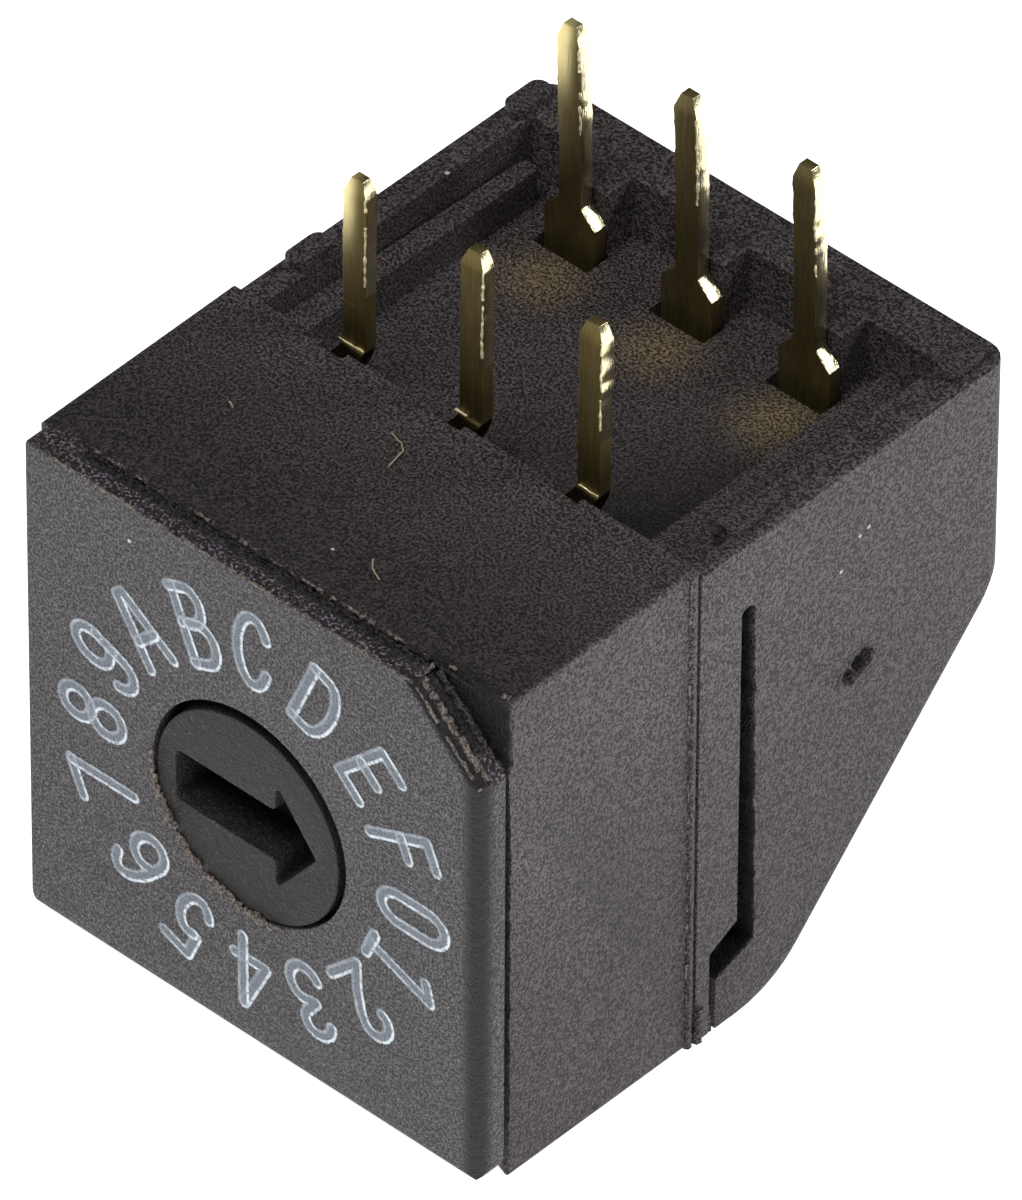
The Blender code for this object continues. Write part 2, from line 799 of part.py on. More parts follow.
def rear_lead(start):
    """From the base back through the carrier, then up through the floor to the tip."""
    half = PIN_WIDTH / 2
    thin = PIN_THICKNESS / 2
    rear = rear_row_depth()
    path = [(lead_depth(), start)]
    if start < rear_lead_height() - LEAD_BEND:
        path.append((lead_depth(), rear_lead_height() - LEAD_BEND))
        bend(path, (lead_depth() + LEAD_BEND, rear_lead_height() - LEAD_BEND), math.pi, -math.pi / 2)
    path.append((rear - LEAD_BEND, rear_lead_height()))
    bend(path, (rear - LEAD_BEND, rear_lead_height() + LEAD_BEND), -math.pi / 2, math.pi / 2)
    plain = [(depth, height, half, thin) for depth, height in path]
    wide = SHOULDER_WIDTH / 2
    step = wide - half
    top = floor_height() + SHOULDER_RISE
    bottom = floor_height() - SHOULDER_DEPTH
    shoulder = [
        (rear, bottom, half, thin),
        (rear, bottom + step, wide, thin),
        (rear, top - step, wide, thin),
        (rear, top, half, thin),
    ]
    return plain + shoulder + pin_top(rear)


def make_terminals(finish):
    made = []
    grip = RING_THICKNESS / 2
    for name, (column, row, number) in lead_starts().items():
        terminal = make_ring(name, number, finish)
        x, z = riser_place(column, row, number)
        riser = RING_WIDTH / 2
        depths = (ring_front() + grip, lead_depth())
        add(terminal, block("riser", (x - riser, x + riser), depths, (z - riser, z + riser)))
        if row == "front":
            add(terminal, strip("lead", pin_x(column), front_lead(z - riser)))
        else:
            sides = sorted((x, pin_x(column)))
            depths = (lead_depth() - PIN_THICKNESS / 2, lead_depth() + PIN_THICKNESS / 2)
            add(terminal, block("jog", tuple(sides), depths, (z - riser, z + riser)))
            add(terminal, strip("lead", pin_x(column), rear_lead(z - riser)))
        if number == 0:
            add(terminal, strip("second_lead", pin_x(column), rear_lead(rear_lead_height())))
        made.append(terminal)
    return made


def cover_rear_profile():
    """Rear outline of the cover from the base up, as (depth, height) points."""
    top_of_slope = (COVER_REAR - BASE_LENGTH) * math.tan(BACK_SLOPE)
    corners = [
        (BODY_REAR, 0.0, 0.0),
        (BASE_LENGTH, 0.0, BASE_BEND),
        (COVER_REAR, top_of_slope, BACK_BEND),
        (COVER_REAR, rim_height(), 0.0),
        (BODY_REAR, rim_height(), 0.0),
    ]
    return rounded_outline(corners)[1:-1]


def make_cover_shell(finish):
    front = BODY_REAR + SEAT_GAP
    left = COVER_OFFSET - BODY_WIDTH / 2
    right = COVER_OFFSET + BODY_WIDTH / 2
    rows = []
    for rear, height in cover_rear_profile():
        corners = [
            (left, front, 0.0),
            (right, front, 0.0),
            (right, rear, COVER_CORNER),
            (left, rear, COVER_CORNER),
        ]
        rows.append([(x, y, height) for x, y in rounded_outline(corners)])
    return loft("rear_cover", rows, finish)


def make_recess():
    """The open top behind the body, with the three rear blocks left standing."""
    left = -BODY_WIDTH / 2 + RIM_LEFT
    right = BODY_WIDTH / 2 - RIM_RIGHT
    back = recess_rear()
    block_front = rear_row_depth() + PIN_THICKNESS / 2 + SLOT_MARGIN
    outline = [(left, BODY_REAR - CUT_OVER), (right, BODY_REAR - CUT_OVER), (right, back)]
    for column in (1, 0, -1):
        outline.append((pin_x(column) + BLOCK_WIDTH / 2, back))
        outline.append((pin_x(column) + BLOCK_WIDTH / 2, block_front))
        outline.append((pin_x(column) - BLOCK_WIDTH / 2, block_front))
        outline.append((pin_x(column) - BLOCK_WIDTH / 2, back))
    outline.append((left, back))
    return prism("recess", outline, "Z", floor_height(), rim_height() + CUT_OVER)


def make_cover_cavity():
    half = cavity_half()
    rise = COVER_WALL / math.cos(BACK_SLOPE) - COVER_WALL * math.tan(BACK_SLOPE)
    inner_back = COVER_REAR - COVER_WALL
    slope_start = BASE_LENGTH - rise
    corners = [
        (BODY_REAR - CUT_OVER, COVER_WALL, 0.0),
        (slope_start, COVER_WALL, 0.0),
        (inner_back, COVER_WALL + (inner_back - slope_start) * math.tan(BACK_SLOPE), 0.0),
        (inner_back, floor_bottom(), 0.0),
        (BODY_REAR - CUT_OVER, floor_bottom(), 0.0),
    ]
    return prism("cover_cavity", rounded_outline(corners), "X", -half, half)


def slit_outline():
    """Long slit, its slanted foot and the narrow gap down to the base."""
    front = BODY_REAR + SLIT_START
    back = front + SLIT_WIDTH
    gap = BODY_REAR + SLIT_LEAVE
    gap_width = SLIT_WIDTH / 2
    drop = SLIT_START - SLIT_LEAVE
    corners = [
        (gap, -CUT_OVER, 0.0),
        (gap + gap_width, -CUT_OVER, 0.0),
        (gap + gap_width, SLIT_BOTTOM - drop / 2, 0.0),
        (back + SLIT_WIDTH / 3, SLIT_BOTTOM, 0.0),
        (back, SLIT_TOP, SLIT_WIDTH * SLIT_ROUNDING),
        (front, SLIT_TOP, SLIT_WIDTH * SLIT_ROUNDING),
        (front, SLIT_BOTTOM + drop, 0.0),
        (gap, SLIT_BOTTOM + drop / 2, 0.0),
    ]
    return rounded_outline(corners, 0.0, 3)


def make_rail(side):
    """Side rail on the floor, leaving the rim wall towards its round rear end."""
    rim = RIM_RIGHT if side > 0 else RIM_LEFT
    width = RAIL_WIDTH_RIGHT if side > 0 else RAIL_WIDTH_LEFT
    wall = BODY_WIDTH / 2 - rim
    inner = wall - width
    front = BODY_REAR + SEAT_GAP
    end = recess_rear() - RAIL_END_GAP
    corners = [
        (inner, front, 0.0),
        (wall + SEAT_GAP, front, 0.0),
        (wall - RAIL_TAPER, end, width / 4),
        (inner, end, width / 4),
    ]
    outline = rounded_outline(corners)
    if side < 0:
        outline = [(-x, y) for x, y in reversed(outline)]
    return prism("rail", outline, "Z", floor_height() - FLOOR_THICKNESS / 2, floor_height() + RAIL_RISE)


def make_bump(x, y):
    half_long = BUMP_LENGTH / 2
    half_wide = BUMP_WIDTH / 2
    corners = rectangle(x - half_wide, x + half_wide, y - half_long, y + half_long, half_wide * BUMP_ROUNDING)
    return prism("bump", rounded_outline(corners), "Z", rim_height() - BUMP_HEIGHT, rim_height() + BUMP_HEIGHT)


def make_rear_cover(finish):
    cover = make_cover_shell(finish)
    cut(cover, make_recess())
    cut(cover, make_cover_cavity())
    slot_half = SHOULDER_WIDTH / 2 + SLOT_MARGIN
    slot_front = rear_row_depth() - PIN_THICKNESS / 2 - SLOT_REACH
    slot_back = rear_row_depth() + PIN_THICKNESS / 2 + SLOT_MARGIN
    for column in (-1, 0, 1):
        span = (pin_x(column) - slot_half, pin_x(column) + slot_half)
        heights = (floor_bottom() - CUT_OVER, floor_height() + CUT_OVER)
        cut(cover, block("slot", span, (slot_front, slot_back), heights))
    notch_back = BODY_REAR + RIM_NOTCH_START + RIM_NOTCH_LENGTH
    rim_inside = BODY_WIDTH / 2 - RIM_RIGHT
    span = (rim_inside - RAIL_TAPER, rim_inside + RIM_NOTCH_WIDTH)
    depths = (BODY_REAR + RIM_NOTCH_START, notch_back)
    cut(cover, block("rim_notch", span, depths, (rim_height() - RIM_NOTCH_DEPTH, rim_height() + CUT_OVER)))
    outside = BODY_WIDTH / 2 + CUT_OVER
    for side in (-1, 1):
        add(cover, make_rail(side))
        inset = BUMP_INSET_RIGHT if side > 0 else BUMP_INSET_LEFT
        near = side * (cavity_half() - SEAT_GAP)
        far = side * outside
        cut(cover, prism("slit", slit_outline(), "X", min(near, far), max(near, far)))
        for depth in (BODY_REAR + FRONT_BUMP_SETBACK, COVER_REAR - REAR_BUMP_INSET):
            add(cover, make_bump(side * (BODY_WIDTH / 2 - inset), depth))
        wall = cavity_half()
        span = sorted((side * (wall + RIB_WIDTH / 2), side * (wall - RIB_WIDTH)))
        depths = (BODY_REAR + SLIT_START + 2 * SLIT_WIDTH, carrier_rear() - RIB_WIDTH)
        heights = (carrier_bottom() - SEAT_GAP - RIB_HEIGHT, carrier_bottom() - SEAT_GAP)
        add(cover, block("rib", tuple(span), depths, heights))
    smooth(cover)
    return cover


def make_terminal_carrier(finish):
    half = cavity_half() - SEAT_GAP
    top = floor_bottom() - SEAT_GAP
    front = BODY_REAR + SEAT_GAP
    carrier = block("terminal_carrier", (-half, half), (front, carrier_rear()), (carrier_bottom(), top), finish)
    lead_half = PIN_WIDTH / 2 + SEAT_GAP
    low = rear_lead_height() - PIN_THICKNESS / 2 - SEAT_GAP
    back = rear_row_depth() + PIN_THICKNESS / 2 + SEAT_GAP
    for column in (-1, 0, 1):
        span = (pin_x(column) - lead_half, pin_x(column) + lead_half)
        cut(carrier, block("lead_channel", span, (front - CUT_OVER, back), (low, top + CUT_OVER)))
    return carrier


def build():
    clear_scene()
    black = material("black_plastic", (0.022, 0.021, 0.022), 0.6)
    grey = material("dial_grey_plastic", (0.075, 0.073, 0.075), 0.6)
    rotor_black = material("rotor_plastic", (0.03, 0.03, 0.03), 0.5)
    insulator = material("base_plastic", (0.03, 0.028, 0.025), 0.6)
    rubber = material("seal_rubber", (0.015, 0.015, 0.015), 0.8)
    steel = material("spring_steel", (0.55, 0.55, 0.56), 0.3, 1.0)
    gold = material("gold_plate", (0.9, 0.62, 0.22), 0.2, 1.0)
    make_dial_plate(grey)
    make_switch_body(black)
    make_rotor(rotor_black)
    make_rotor_seal(rubber)
    make_detent_spring(steel)
    make_contact_wiper(gold)
    make_contact_base(insulator)
    make_terminals(gold)
    make_rear_cover(black)
    make_terminal_carrier(insulator)
    for thing in bpy.context.scene.collection.objects:
        thing.location.y -= COVER_REAR / 2 * MM


build()
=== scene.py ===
import bmesh
import bpy
import json
import math
from mathutils import Matrix, Vector, noise

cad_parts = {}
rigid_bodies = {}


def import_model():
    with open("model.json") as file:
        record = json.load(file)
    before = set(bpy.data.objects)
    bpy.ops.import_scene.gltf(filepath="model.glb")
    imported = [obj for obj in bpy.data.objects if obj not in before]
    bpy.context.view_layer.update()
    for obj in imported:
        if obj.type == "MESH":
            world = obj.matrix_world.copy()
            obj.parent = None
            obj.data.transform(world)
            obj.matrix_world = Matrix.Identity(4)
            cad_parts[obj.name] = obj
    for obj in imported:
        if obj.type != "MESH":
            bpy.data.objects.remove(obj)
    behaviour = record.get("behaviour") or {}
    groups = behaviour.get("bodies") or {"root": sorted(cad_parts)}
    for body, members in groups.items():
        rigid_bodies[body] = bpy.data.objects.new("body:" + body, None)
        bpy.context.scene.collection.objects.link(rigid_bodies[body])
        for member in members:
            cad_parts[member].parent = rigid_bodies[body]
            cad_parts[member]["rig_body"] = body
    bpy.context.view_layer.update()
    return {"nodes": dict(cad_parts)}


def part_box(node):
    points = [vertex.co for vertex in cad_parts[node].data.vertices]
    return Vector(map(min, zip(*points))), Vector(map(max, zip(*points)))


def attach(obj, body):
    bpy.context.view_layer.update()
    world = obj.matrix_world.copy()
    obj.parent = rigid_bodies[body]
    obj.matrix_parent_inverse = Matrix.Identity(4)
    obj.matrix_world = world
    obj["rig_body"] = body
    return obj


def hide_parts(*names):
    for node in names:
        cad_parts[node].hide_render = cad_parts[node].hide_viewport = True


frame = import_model()
MM = 0.001


# Switch body: a square box of glass-filled nylon from a spark-eroded mould, so its
# faces are finely pitted and its edges slightly soft. It carries the rotor, and its
# front edge under the dial plate is chipped where the two parts were pressed together.
class Signal:
    """One value in a material; sums and products on it add the nodes they need."""

    def __init__(self, tree, socket):
        self.tree = tree
        self.socket = socket

    def node(self, kind, settings, inputs, output=0):
        made = self.tree.nodes.new("ShaderNode" + kind)
        for name, value in settings.items():
            setattr(made, name, value)
        for name, value in inputs.items():
            if isinstance(value, Signal):
                self.tree.links.new(value.socket, made.inputs[name])
            else:
                made.inputs[name].default_value = value
        return Signal(self.tree, made.outputs[output])

    def math(self, operation, first, second):
        return self.node("Math", {"operation": operation}, {0: first, 1: second})

    def __add__(self, other):
        return self.math("ADD", self, other)

    def __sub__(self, other):
        return self.math("SUBTRACT", self, other)

    def __mul__(self, other):
        return self.math("MULTIPLY", self, other)

    def __rsub__(self, other):
        return self.math("SUBTRACT", other, self)

    __radd__ = __add__
    __rmul__ = __mul__

    def most(self, other):
        return self.math("MAXIMUM", self, other)

    def between(self, low, high):
        """0 below low and 1 above high, with a soft step between them."""
        settings = {"interpolation_type": "SMOOTHSTEP"}
        return self.node("MapRange", settings, {"Value": self, "From Min": low, "From Max": high})

    def noise(self, size, detail=2.0, rough=0.5):
        """Cloudy noise with lumps of that size in millimetres."""
        inputs = {"Vector": self, "Scale": 1 / (size * MM), "Detail": detail, "Roughness": rough}
        return self.node("TexNoise", {}, inputs)

    def stretched(self, along):
        """The same place with its three lengths divided, to draw a pattern out."""
        return self.node("Mapping", {"vector_type": "TEXTURE"}, {"Vector": self, "Scale": along})

    def cells(self, size, output="Distance"):
        """Distance to the nearest of random points that lie about that far apart."""
        return self.node("TexVoronoi", {}, {"Vector": self, "Scale": 1 / (size * MM)}, output)

    def tint(self, first, second):
        """The first colour where the signal is 0 and the second where it is 1."""
        colours = {6: self.colour(first), 7: self.colour(second)}
        return self.node("Mix", {"data_type": "RGBA"}, {0: self, **colours}, 2)

    def colour(self, value):
        return value if isinstance(value, Signal) else (*value, 1.0)

    def axis(self, name):
        return self.node("SeparateXYZ", {}, {0: self}, "XYZ".index(name))

    def attribute(self, name):
        return self.node("Attribute", {"attribute_name": name}, {}, "Fac")

    def spot(self, x, y, z, radius):
        """1 at a point given in millimetres, fading to 0 at that radius from it."""
        point = (x * MM, y * MM, z * MM)
        away = self.node("VectorMath", {"operation": "DISTANCE"}, {0: self, 1: point}, "Value")
        return 1 - away.between(0.0, radius * MM)

    def bump(self, depth):
        """A normal for relief of that depth in millimetres."""
        return self.node("Bump", {}, {"Height": self, "Distance": depth * MM})


def finish(name, paint, **fixed):
    """A material whose even values are set on the shader and the rest by paint(place)."""
    made = bpy.data.materials.new(name)
    made.use_nodes = True
    shader = made.node_tree.nodes["Principled BSDF"]
    for socket, value in fixed.items():
        shader.inputs[socket.replace("_", " ")].default_value = value
    coordinates = made.node_tree.nodes.new("ShaderNodeTexCoord")
    place = Signal(made.node_tree, coordinates.outputs["Object"])
    for socket, signal in paint(place).items():
        made.node_tree.links.new(signal.socket, shader.inputs[socket])
    return made


FLAT_TURN = 1
SHARP_TURN = 50


def moulding(node, edge, material, segments=3, angle=35, worked=None):
    """A CAD part's own shape with its edges rounded, standing for that part."""
    work = bmesh.new()
    work.from_mesh(frame["nodes"][node].data)
    bmesh.ops.remove_doubles(work, verts=work.verts, dist=1e-7)
    level = math.radians(FLAT_TURN)
    bmesh.ops.dissolve_limit(work, angle_limit=level, verts=work.verts, edges=work.edges)
    piece = new_piece(node + "_moulding", work)
    rounding = piece.modifiers.new("edge", "BEVEL")
    rounding.width = edge * MM
    rounding.segments = segments
    rounding.limit_method = "ANGLE"
    rounding.angle_limit = math.radians(angle)
    rounding.miter_outer = "MITER_ARC"
    settle(piece)
    if worked is not None:
        work = bmesh.new()
        work.from_mesh(piece.data)
        worked(work)
        work.to_mesh(piece.data)
        work.free()
    dress(piece, material)
    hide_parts(node)
    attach(piece, frame["nodes"][node]["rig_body"])
    return piece


def new_piece(name, work):
    """An object of its own with that mesh."""
    mesh = bpy.data.meshes.new(name)
    work.to_mesh(mesh)
    work.free()
    piece = bpy.data.objects.new(name, mesh)
    bpy.context.scene.collection.objects.link(piece)
    return piece


def settle(piece):
    """Turn a piece and its modifiers into a plain mesh."""
    depsgraph = bpy.context.evaluated_depsgraph_get()
    result = bpy.data.meshes.new_from_object(piece.evaluated_get(depsgraph))
    piece.modifiers.clear()
    piece.data = result


def dress(piece, material):
    """Smooth faces that stay sharp where they turn steeply, and one material."""
    piece.data.shade_smooth()
    piece.data.set_sharp_from_angle(angle=math.radians(SHARP_TURN))
    piece.data.materials.clear()
    piece.data.materials.append(material)


def pitted(place, dark, light, fleck):
    """Spark-eroded nylon: fine grain in two tones with small violet flecks of glass, pale torn nylon where a
    piece marks it torn, and near-black painted shade where a piece marks it.
    """
    grain = place.noise(0.05, 2.0, 0.7)
    peel = place.noise(0.17, 1.0)
    speck = 1 - place.cells(0.075).between(0.18, 0.42)
    rare = place.noise(0.13, 1.0).between(0.48, 0.66)
    cloud = place.noise(2.2, 3.0).between(0.3, 0.7)
    ground = cloud.tint(dark, tuple(1.7 * part for part in dark))
    grained = grain.between(0.45, 0.58).tint(ground, light)
    flecked = (speck * rare).tint(grained, fleck)
    chips = place.noise(0.06, 2.0, 0.7).between(0.5, 0.66)
    raw = chips.tint((0.014, 0.01, 0.009), (0.3, 0.25, 0.32))
    torn = place.attribute("torn").tint(flecked, raw)
    return {
        # Near black where a piece marks painted shade: its recesses, gaps and hollows.
        "Base Color": place.attribute("painted_shade").tint(torn, (0.003, 0.0024, 0.002)),
        "Roughness": 0.4 + 0.35 * grain,
        "Normal": (grain + 0.6 * peel + 0.3 * speck * rare).bump(0.1),
    }


# Depths are counted back from the dial's face; all lengths are in millimetres.
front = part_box("dial_plate")[0].y / MM
BODY_TOP = 10.16
COVER_RIM = 9.97
RECESS_FLOOR = 8.76
# Where the painted glow of light reflected from the pins lies on the recess floor.
GLOW_PLACES = (-2.6, -0.06, 2.48)
GLOW_ROW = 3.5
GLOW_REACH = 1.25
MOTE_REACH = 0.06


def near_black(place):
    """Black nylon with a painted glow of light reflected from the pins, painted light high on its right
    wall, painted shade at the front of its top, and dust on it.
    """
    coat = pitted(place, (0.0045, 0.0034, 0.003), (0.12, 0.098, 0.1), (0.17, 0.155, 0.21))
    grain = place.noise(0.05, 2.0, 0.7).between(0.4, 0.6)
    # Painted reflection: a gold glow of light thrown by the pins onto the floor in front of them.
    glow = sum(place.spot(x, GLOW_ROW, RECESS_FLOOR, GLOW_REACH) for x in GLOW_PLACES)
    pin_glow_colour = grain.tint((0.03, 0.022, 0.01), (0.38, 0.28, 0.13))
    with_pin_glow = (0.6 * glow).tint(coat["Base Color"], pin_glow_colour)
    # Painted light: the right wall is paler high up and towards the front.
    upper = place.axis("Z").between(2.0 * MM, 9.5 * MM) * place.axis("X").between(4.9 * MM, 4.99 * MM)
    near = 1 - 0.5 * place.axis("Y").between(front * MM, (front + 9.0) * MM)
    painted_wall_light = grain.tint((0.02, 0.016, 0.018), (0.27, 0.235, 0.25))
    lit = (0.6 * upper * near).tint(with_pin_glow, painted_wall_light)
    # Painted shade: the front part of the top is darkened.
    fore = 1 - place.axis("Y").between((front + 0.6) * MM, (front + 4.5) * MM)
    top = place.axis("Z").between((BODY_TOP - 0.08) * MM, (BODY_TOP - 0.01) * MM)
    shaded = (0.6 * fore * top).tint(lit, (0.004, 0.003, 0.0026))
    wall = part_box("rear_cover")[1].x / MM
    motes = [(wall, 9.03, 8.5), (wall, 8.82, 8.44), (wall, 8.38, 7.96)]
    motes += [(0.48, 1.48, BODY_TOP), (-4.55, 9.53, COVER_RIM)]
    dust = sum(place.spot(x, depth + front, z, MOTE_REACH) for x, depth, z in motes)
    coat["Base Color"] = dust.between(0.15, 0.5).tint(shaded, (0.7, 0.7, 0.74))
    return coat


def slice_across(work, normal, places, near=None):
    """Cut the mesh along planes at those distances in millimetres, where near says so."""
    for place in places:
        faces = [face for face in work.faces if near is None or near(face.calc_center_median() / MM)]
        edges = list({edge for face in faces for edge in face.edges})
        verts = list({vert for face in faces for vert in face.verts})
        bmesh.ops.bisect_plane(
            work,
            geom=verts + edges + faces,
            dist=1e-8,
            plane_co=normal * (place * MM),
            plane_no=normal,
        )


def steps(start, end, size):
    """Even steps of about that size, with both ends."""
    count = round((end - start) / size)
    return [start + (end - start) * step / count for step in range(count + 1)]


def ease(value, low, high):
    """0 up to low and 1 from high, with a soft step between them."""
    share = min(max((value - low) / (high - low), 0.0), 1.0)
    return share * share * (3 - 2 * share)


def rough(x, y, z, size):
    """Smooth random number from -1 to 1 with lumps of that size."""
    return noise.noise(Vector((x, y, z)) / size)


ACROSS = Vector((1.0, 0.0, 0.0))
INTO = Vector((0.0, 1.0, 0.0))
UPWARD = Vector((0.0, 0.0, 1.0))
PLATE_REAR = 0.57
WEAR_REACH = 0.93
LIP_RISE = 0.13
RIGHT_LIP = 0.08
CORNER_SUM = 12.9


def body_wear(work):
    """The body's front top edge, sheared to a rough slope that meets the plate, with painted shade on its
    face behind the plate's cut corner.
    """
    def on_front(centre):
        return centre.y < front + 0.9 and centre.z > 8.4

    def on_corner(centre):
        return centre.x > 4.7 and centre.y < front + 0.9 and centre.z < 8.7

    def behind_cut(centre):
        return on_front(centre) and centre.x > 3.3

    slice_across(work, UPWARD, [8.6, 9.4, BODY_TOP - LIP_RISE, BODY_TOP - LIP_RISE / 2], on_front)
    slice_across(work, ACROSS, [4.7], lambda centre: centre.y < front + 0.9)
    slice_across(work, UPWARD, steps(0.2, 8.5, 0.1), on_corner)
    slice_across(work, UPWARD, steps(8.7, 9.9, 0.08), behind_cut)
    slice_across(work, INTO, [front + 0.95], lambda centre: centre.z > BODY_TOP - 0.02)
    slice_across(work, ACROSS, steps(-4.9, 4.9, 0.08), on_front)
    torn = work.verts.layers.float.new("torn")
    painted_shade = work.verts.layers.float.new("painted_shade")
    for vert in work.verts:
        x, y, z = vert.co / MM
        if y - front >= WEAR_REACH:
            continue
        if z > 9.3:
            here = 1 - ease(x, 3.3, 3.6)
            slope = 1 - ease(z, BODY_TOP - 0.06, BODY_TOP)
            ahead = max(0.0, y - front - PLATE_REAR - 0.01)
            vert.co.y -= ahead * (0.1 + 0.9 * slope) * here * MM
            vert.co.z += 0.03 * rough(x, y, z, 0.15) * ease(z, BODY_TOP - 0.12, BODY_TOP) * MM
            vert[torn] = 0.75 * here * ease(z, BODY_TOP - 0.12, BODY_TOP - 0.06)
        if z < 8.7 and x > 4.72:
            vert.co.y -= (RIGHT_LIP + 0.05 * rough(0, 0, z, 0.25)) * MM
        if x + z > CORNER_SUM and x > 3.3:
            lumps = 0.05 * (1 + rough(x, y, z, 0.13))
            vert.co.y -= lumps * ease(x + z, CORNER_SUM, CORNER_SUM + 0.2) * MM
            # Painted shade on the body's face behind the plate's cut corner.
            vert[painted_shade] = 0.88 - 0.5 * max(0.0, rough(x, 7, z, 0.12))


black_nylon = finish("black_nylon", near_black, IOR=1.5, Specular_IOR_Level=0.42)
moulding("switch_body", 0.04, black_nylon, worked=body_wear)


# Rear cover: a deep cap of the same nylon that snaps over the leads. Each side wall
# has a slit that frees a snap arm, the gate's scar is on the right wall, and the
# back slopes at 45 degrees. Its slit has a ragged rear edge.
SCAR_DEPTH = 8.83
SCAR_HEIGHT = 5.68
SCAR_TILT = math.radians(20)
SCAR_HALF_LENGTH = 0.43
SCAR_HALF_WIDTH = 0.23
SLIT_BACK = 6.36


def cover_wear(work):
    """The gate's scar, a torn hollow with a ridge across it, and the slit's ragged edge, with painted shade
    inside the slit and in the scar's hollow.
    """
    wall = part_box("rear_cover")[1].x / MM - 0.02

    def near_scar(centre):
        beside = abs(centre.y - front - SCAR_DEPTH) < 0.62
        return centre.x > wall and beside and abs(centre.z - SCAR_HEIGHT) < 0.42

    def near_slit(centre):
        return centre.x > 3.9 and front + 5.9 < centre.y < front + 6.75 and 1.2 < centre.z < 8.8

    def on_wall(centre):
        return centre.x > wall

    slice_across(work, INTO, [front + SCAR_DEPTH - 0.6, front + SCAR_DEPTH + 0.6, front + 6.7], on_wall)
    slice_across(work, UPWARD, [SCAR_HEIGHT - 0.4, SCAR_HEIGHT + 0.4], on_wall)
    slice_across(work, INTO, steps(front + SCAR_DEPTH - 0.56, front + SCAR_DEPTH + 0.56, 0.035), near_scar)
    slice_across(work, UPWARD, steps(SCAR_HEIGHT - 0.36, SCAR_HEIGHT + 0.36, 0.035), near_scar)
    slice_across(work, UPWARD, steps(1.5, 8.55, 0.09), near_slit)
    slice_across(work, ACROSS, [wall - 0.04], lambda centre: centre.x < wall and near_slit(centre))
    painted_shade = work.verts.layers.float.new("painted_shade")
    torn = work.verts.layers.float.new("torn")
    for vert in work.verts:
        x, y, z = vert.co / MM
        if 3.0 < x < wall and front + 5.0 < y < front + 7.0 and z < 9.0:
            # Painted shade inside the slit.
            vert[painted_shade] = 1.0
        if x > wall:
            back, high = y - front - SCAR_DEPTH, z - SCAR_HEIGHT
            along = back * math.cos(SCAR_TILT) + high * math.sin(SCAR_TILT)
            aside = high * math.cos(SCAR_TILT) - back * math.sin(SCAR_TILT)
            wavy = aside + 0.06 * rough(x, y, z, 0.12)
            spread = math.hypot(along / SCAR_HALF_LENGTH, wavy / SCAR_HALF_WIDTH)
            if spread < 1.25:
                hollow = 1 - ease(spread, 0.55, 1.0)
                ridge = math.exp(-(((along + 0.1) / 0.06) ** 2))
                lip = math.exp(-(((spread - 1.08) / 0.12) ** 2)) * (1.0 if along < 0 else 0.4)
                vert[torn] = min(1.0, 0.9 * ridge * hollow + 0.5 * lip)
                # Painted shade in the scar's hollow, left off its ridge.
                vert[painted_shade] = hollow * (1 - ridge)
                vert.co.x += (0.03 * lip - 0.22 * hollow * (1 - 0.75 * ridge)) * MM
        if x > 4.1 and abs(y - front - SLIT_BACK) < 0.07 and 1.5 < z < 8.6:
            ragged = rough(0, 0, z, 0.3) * 0.06 + rough(0, 4, z, 0.11) * 0.035
            vert.co.y += (ragged + 0.02) * MM


moulding("rear_cover", 0.04, black_nylon, worked=cover_wear)


# Dial plate: a moulded cap of grey nylon with two pegs that press into the body and a
# round hole for the rotor. It was snapped off a moulding strip, which left its top edge
# and its cut corner torn and pale in places.
PLATE_TOP = 10.2
CUT_SUM = 13.78
STRIP_DEPTH = 0.33
BAND_WIDTH = 0.17
HOLE_SHIFT = Vector((0.045, 0.0, 0.1))
AXIS_HEIGHT = 5.1


def dial_grey(place):
    """Grey nylon with painted shade in cloudy patches low on the left and on its rounded right edge, dark at
    two marks.
    """
    coat = pitted(place, (0.01, 0.009, 0.0094), (0.15, 0.138, 0.145), (0.24, 0.23, 0.27))
    # Painted shade in cloudy patches low on the left of the face.
    low_shade_patches = place.noise(0.3, 3.0, 0.7).between(0.5, 0.75)
    low = 1 - (place.axis("Z") + 0.3 * place.axis("X")).between(1.5 * MM, 5.5 * MM)
    # Painted shade on the rounded front of the right edge.
    side = place.axis("X").between(4.55 * MM, 4.85 * MM)
    rounded = 1 - place.axis("Y").between((front + 0.12) * MM, (front + 0.4) * MM)
    shaded = (0.5 * low_shade_patches * low).most(side * rounded)
    gate = place.spot(4.98, front + 0.23, 4.76, 0.3)
    shade_and_mark_mask = shaded.most(gate) + 0.9 * place.spot(-0.04, front, 9.77, 0.11)
    shade_and_marks = shade_and_mark_mask.tint(coat["Base Color"], (0.009, 0.006, 0.005))
    motes = place.spot(-2.54, front, 9.44, 0.06) + place.spot(4.95, front + 0.2, 4.8, 0.05)
    coat["Base Color"] = motes.between(0.15, 0.5).tint(shade_and_marks, (0.7, 0.7, 0.74))
    return coat


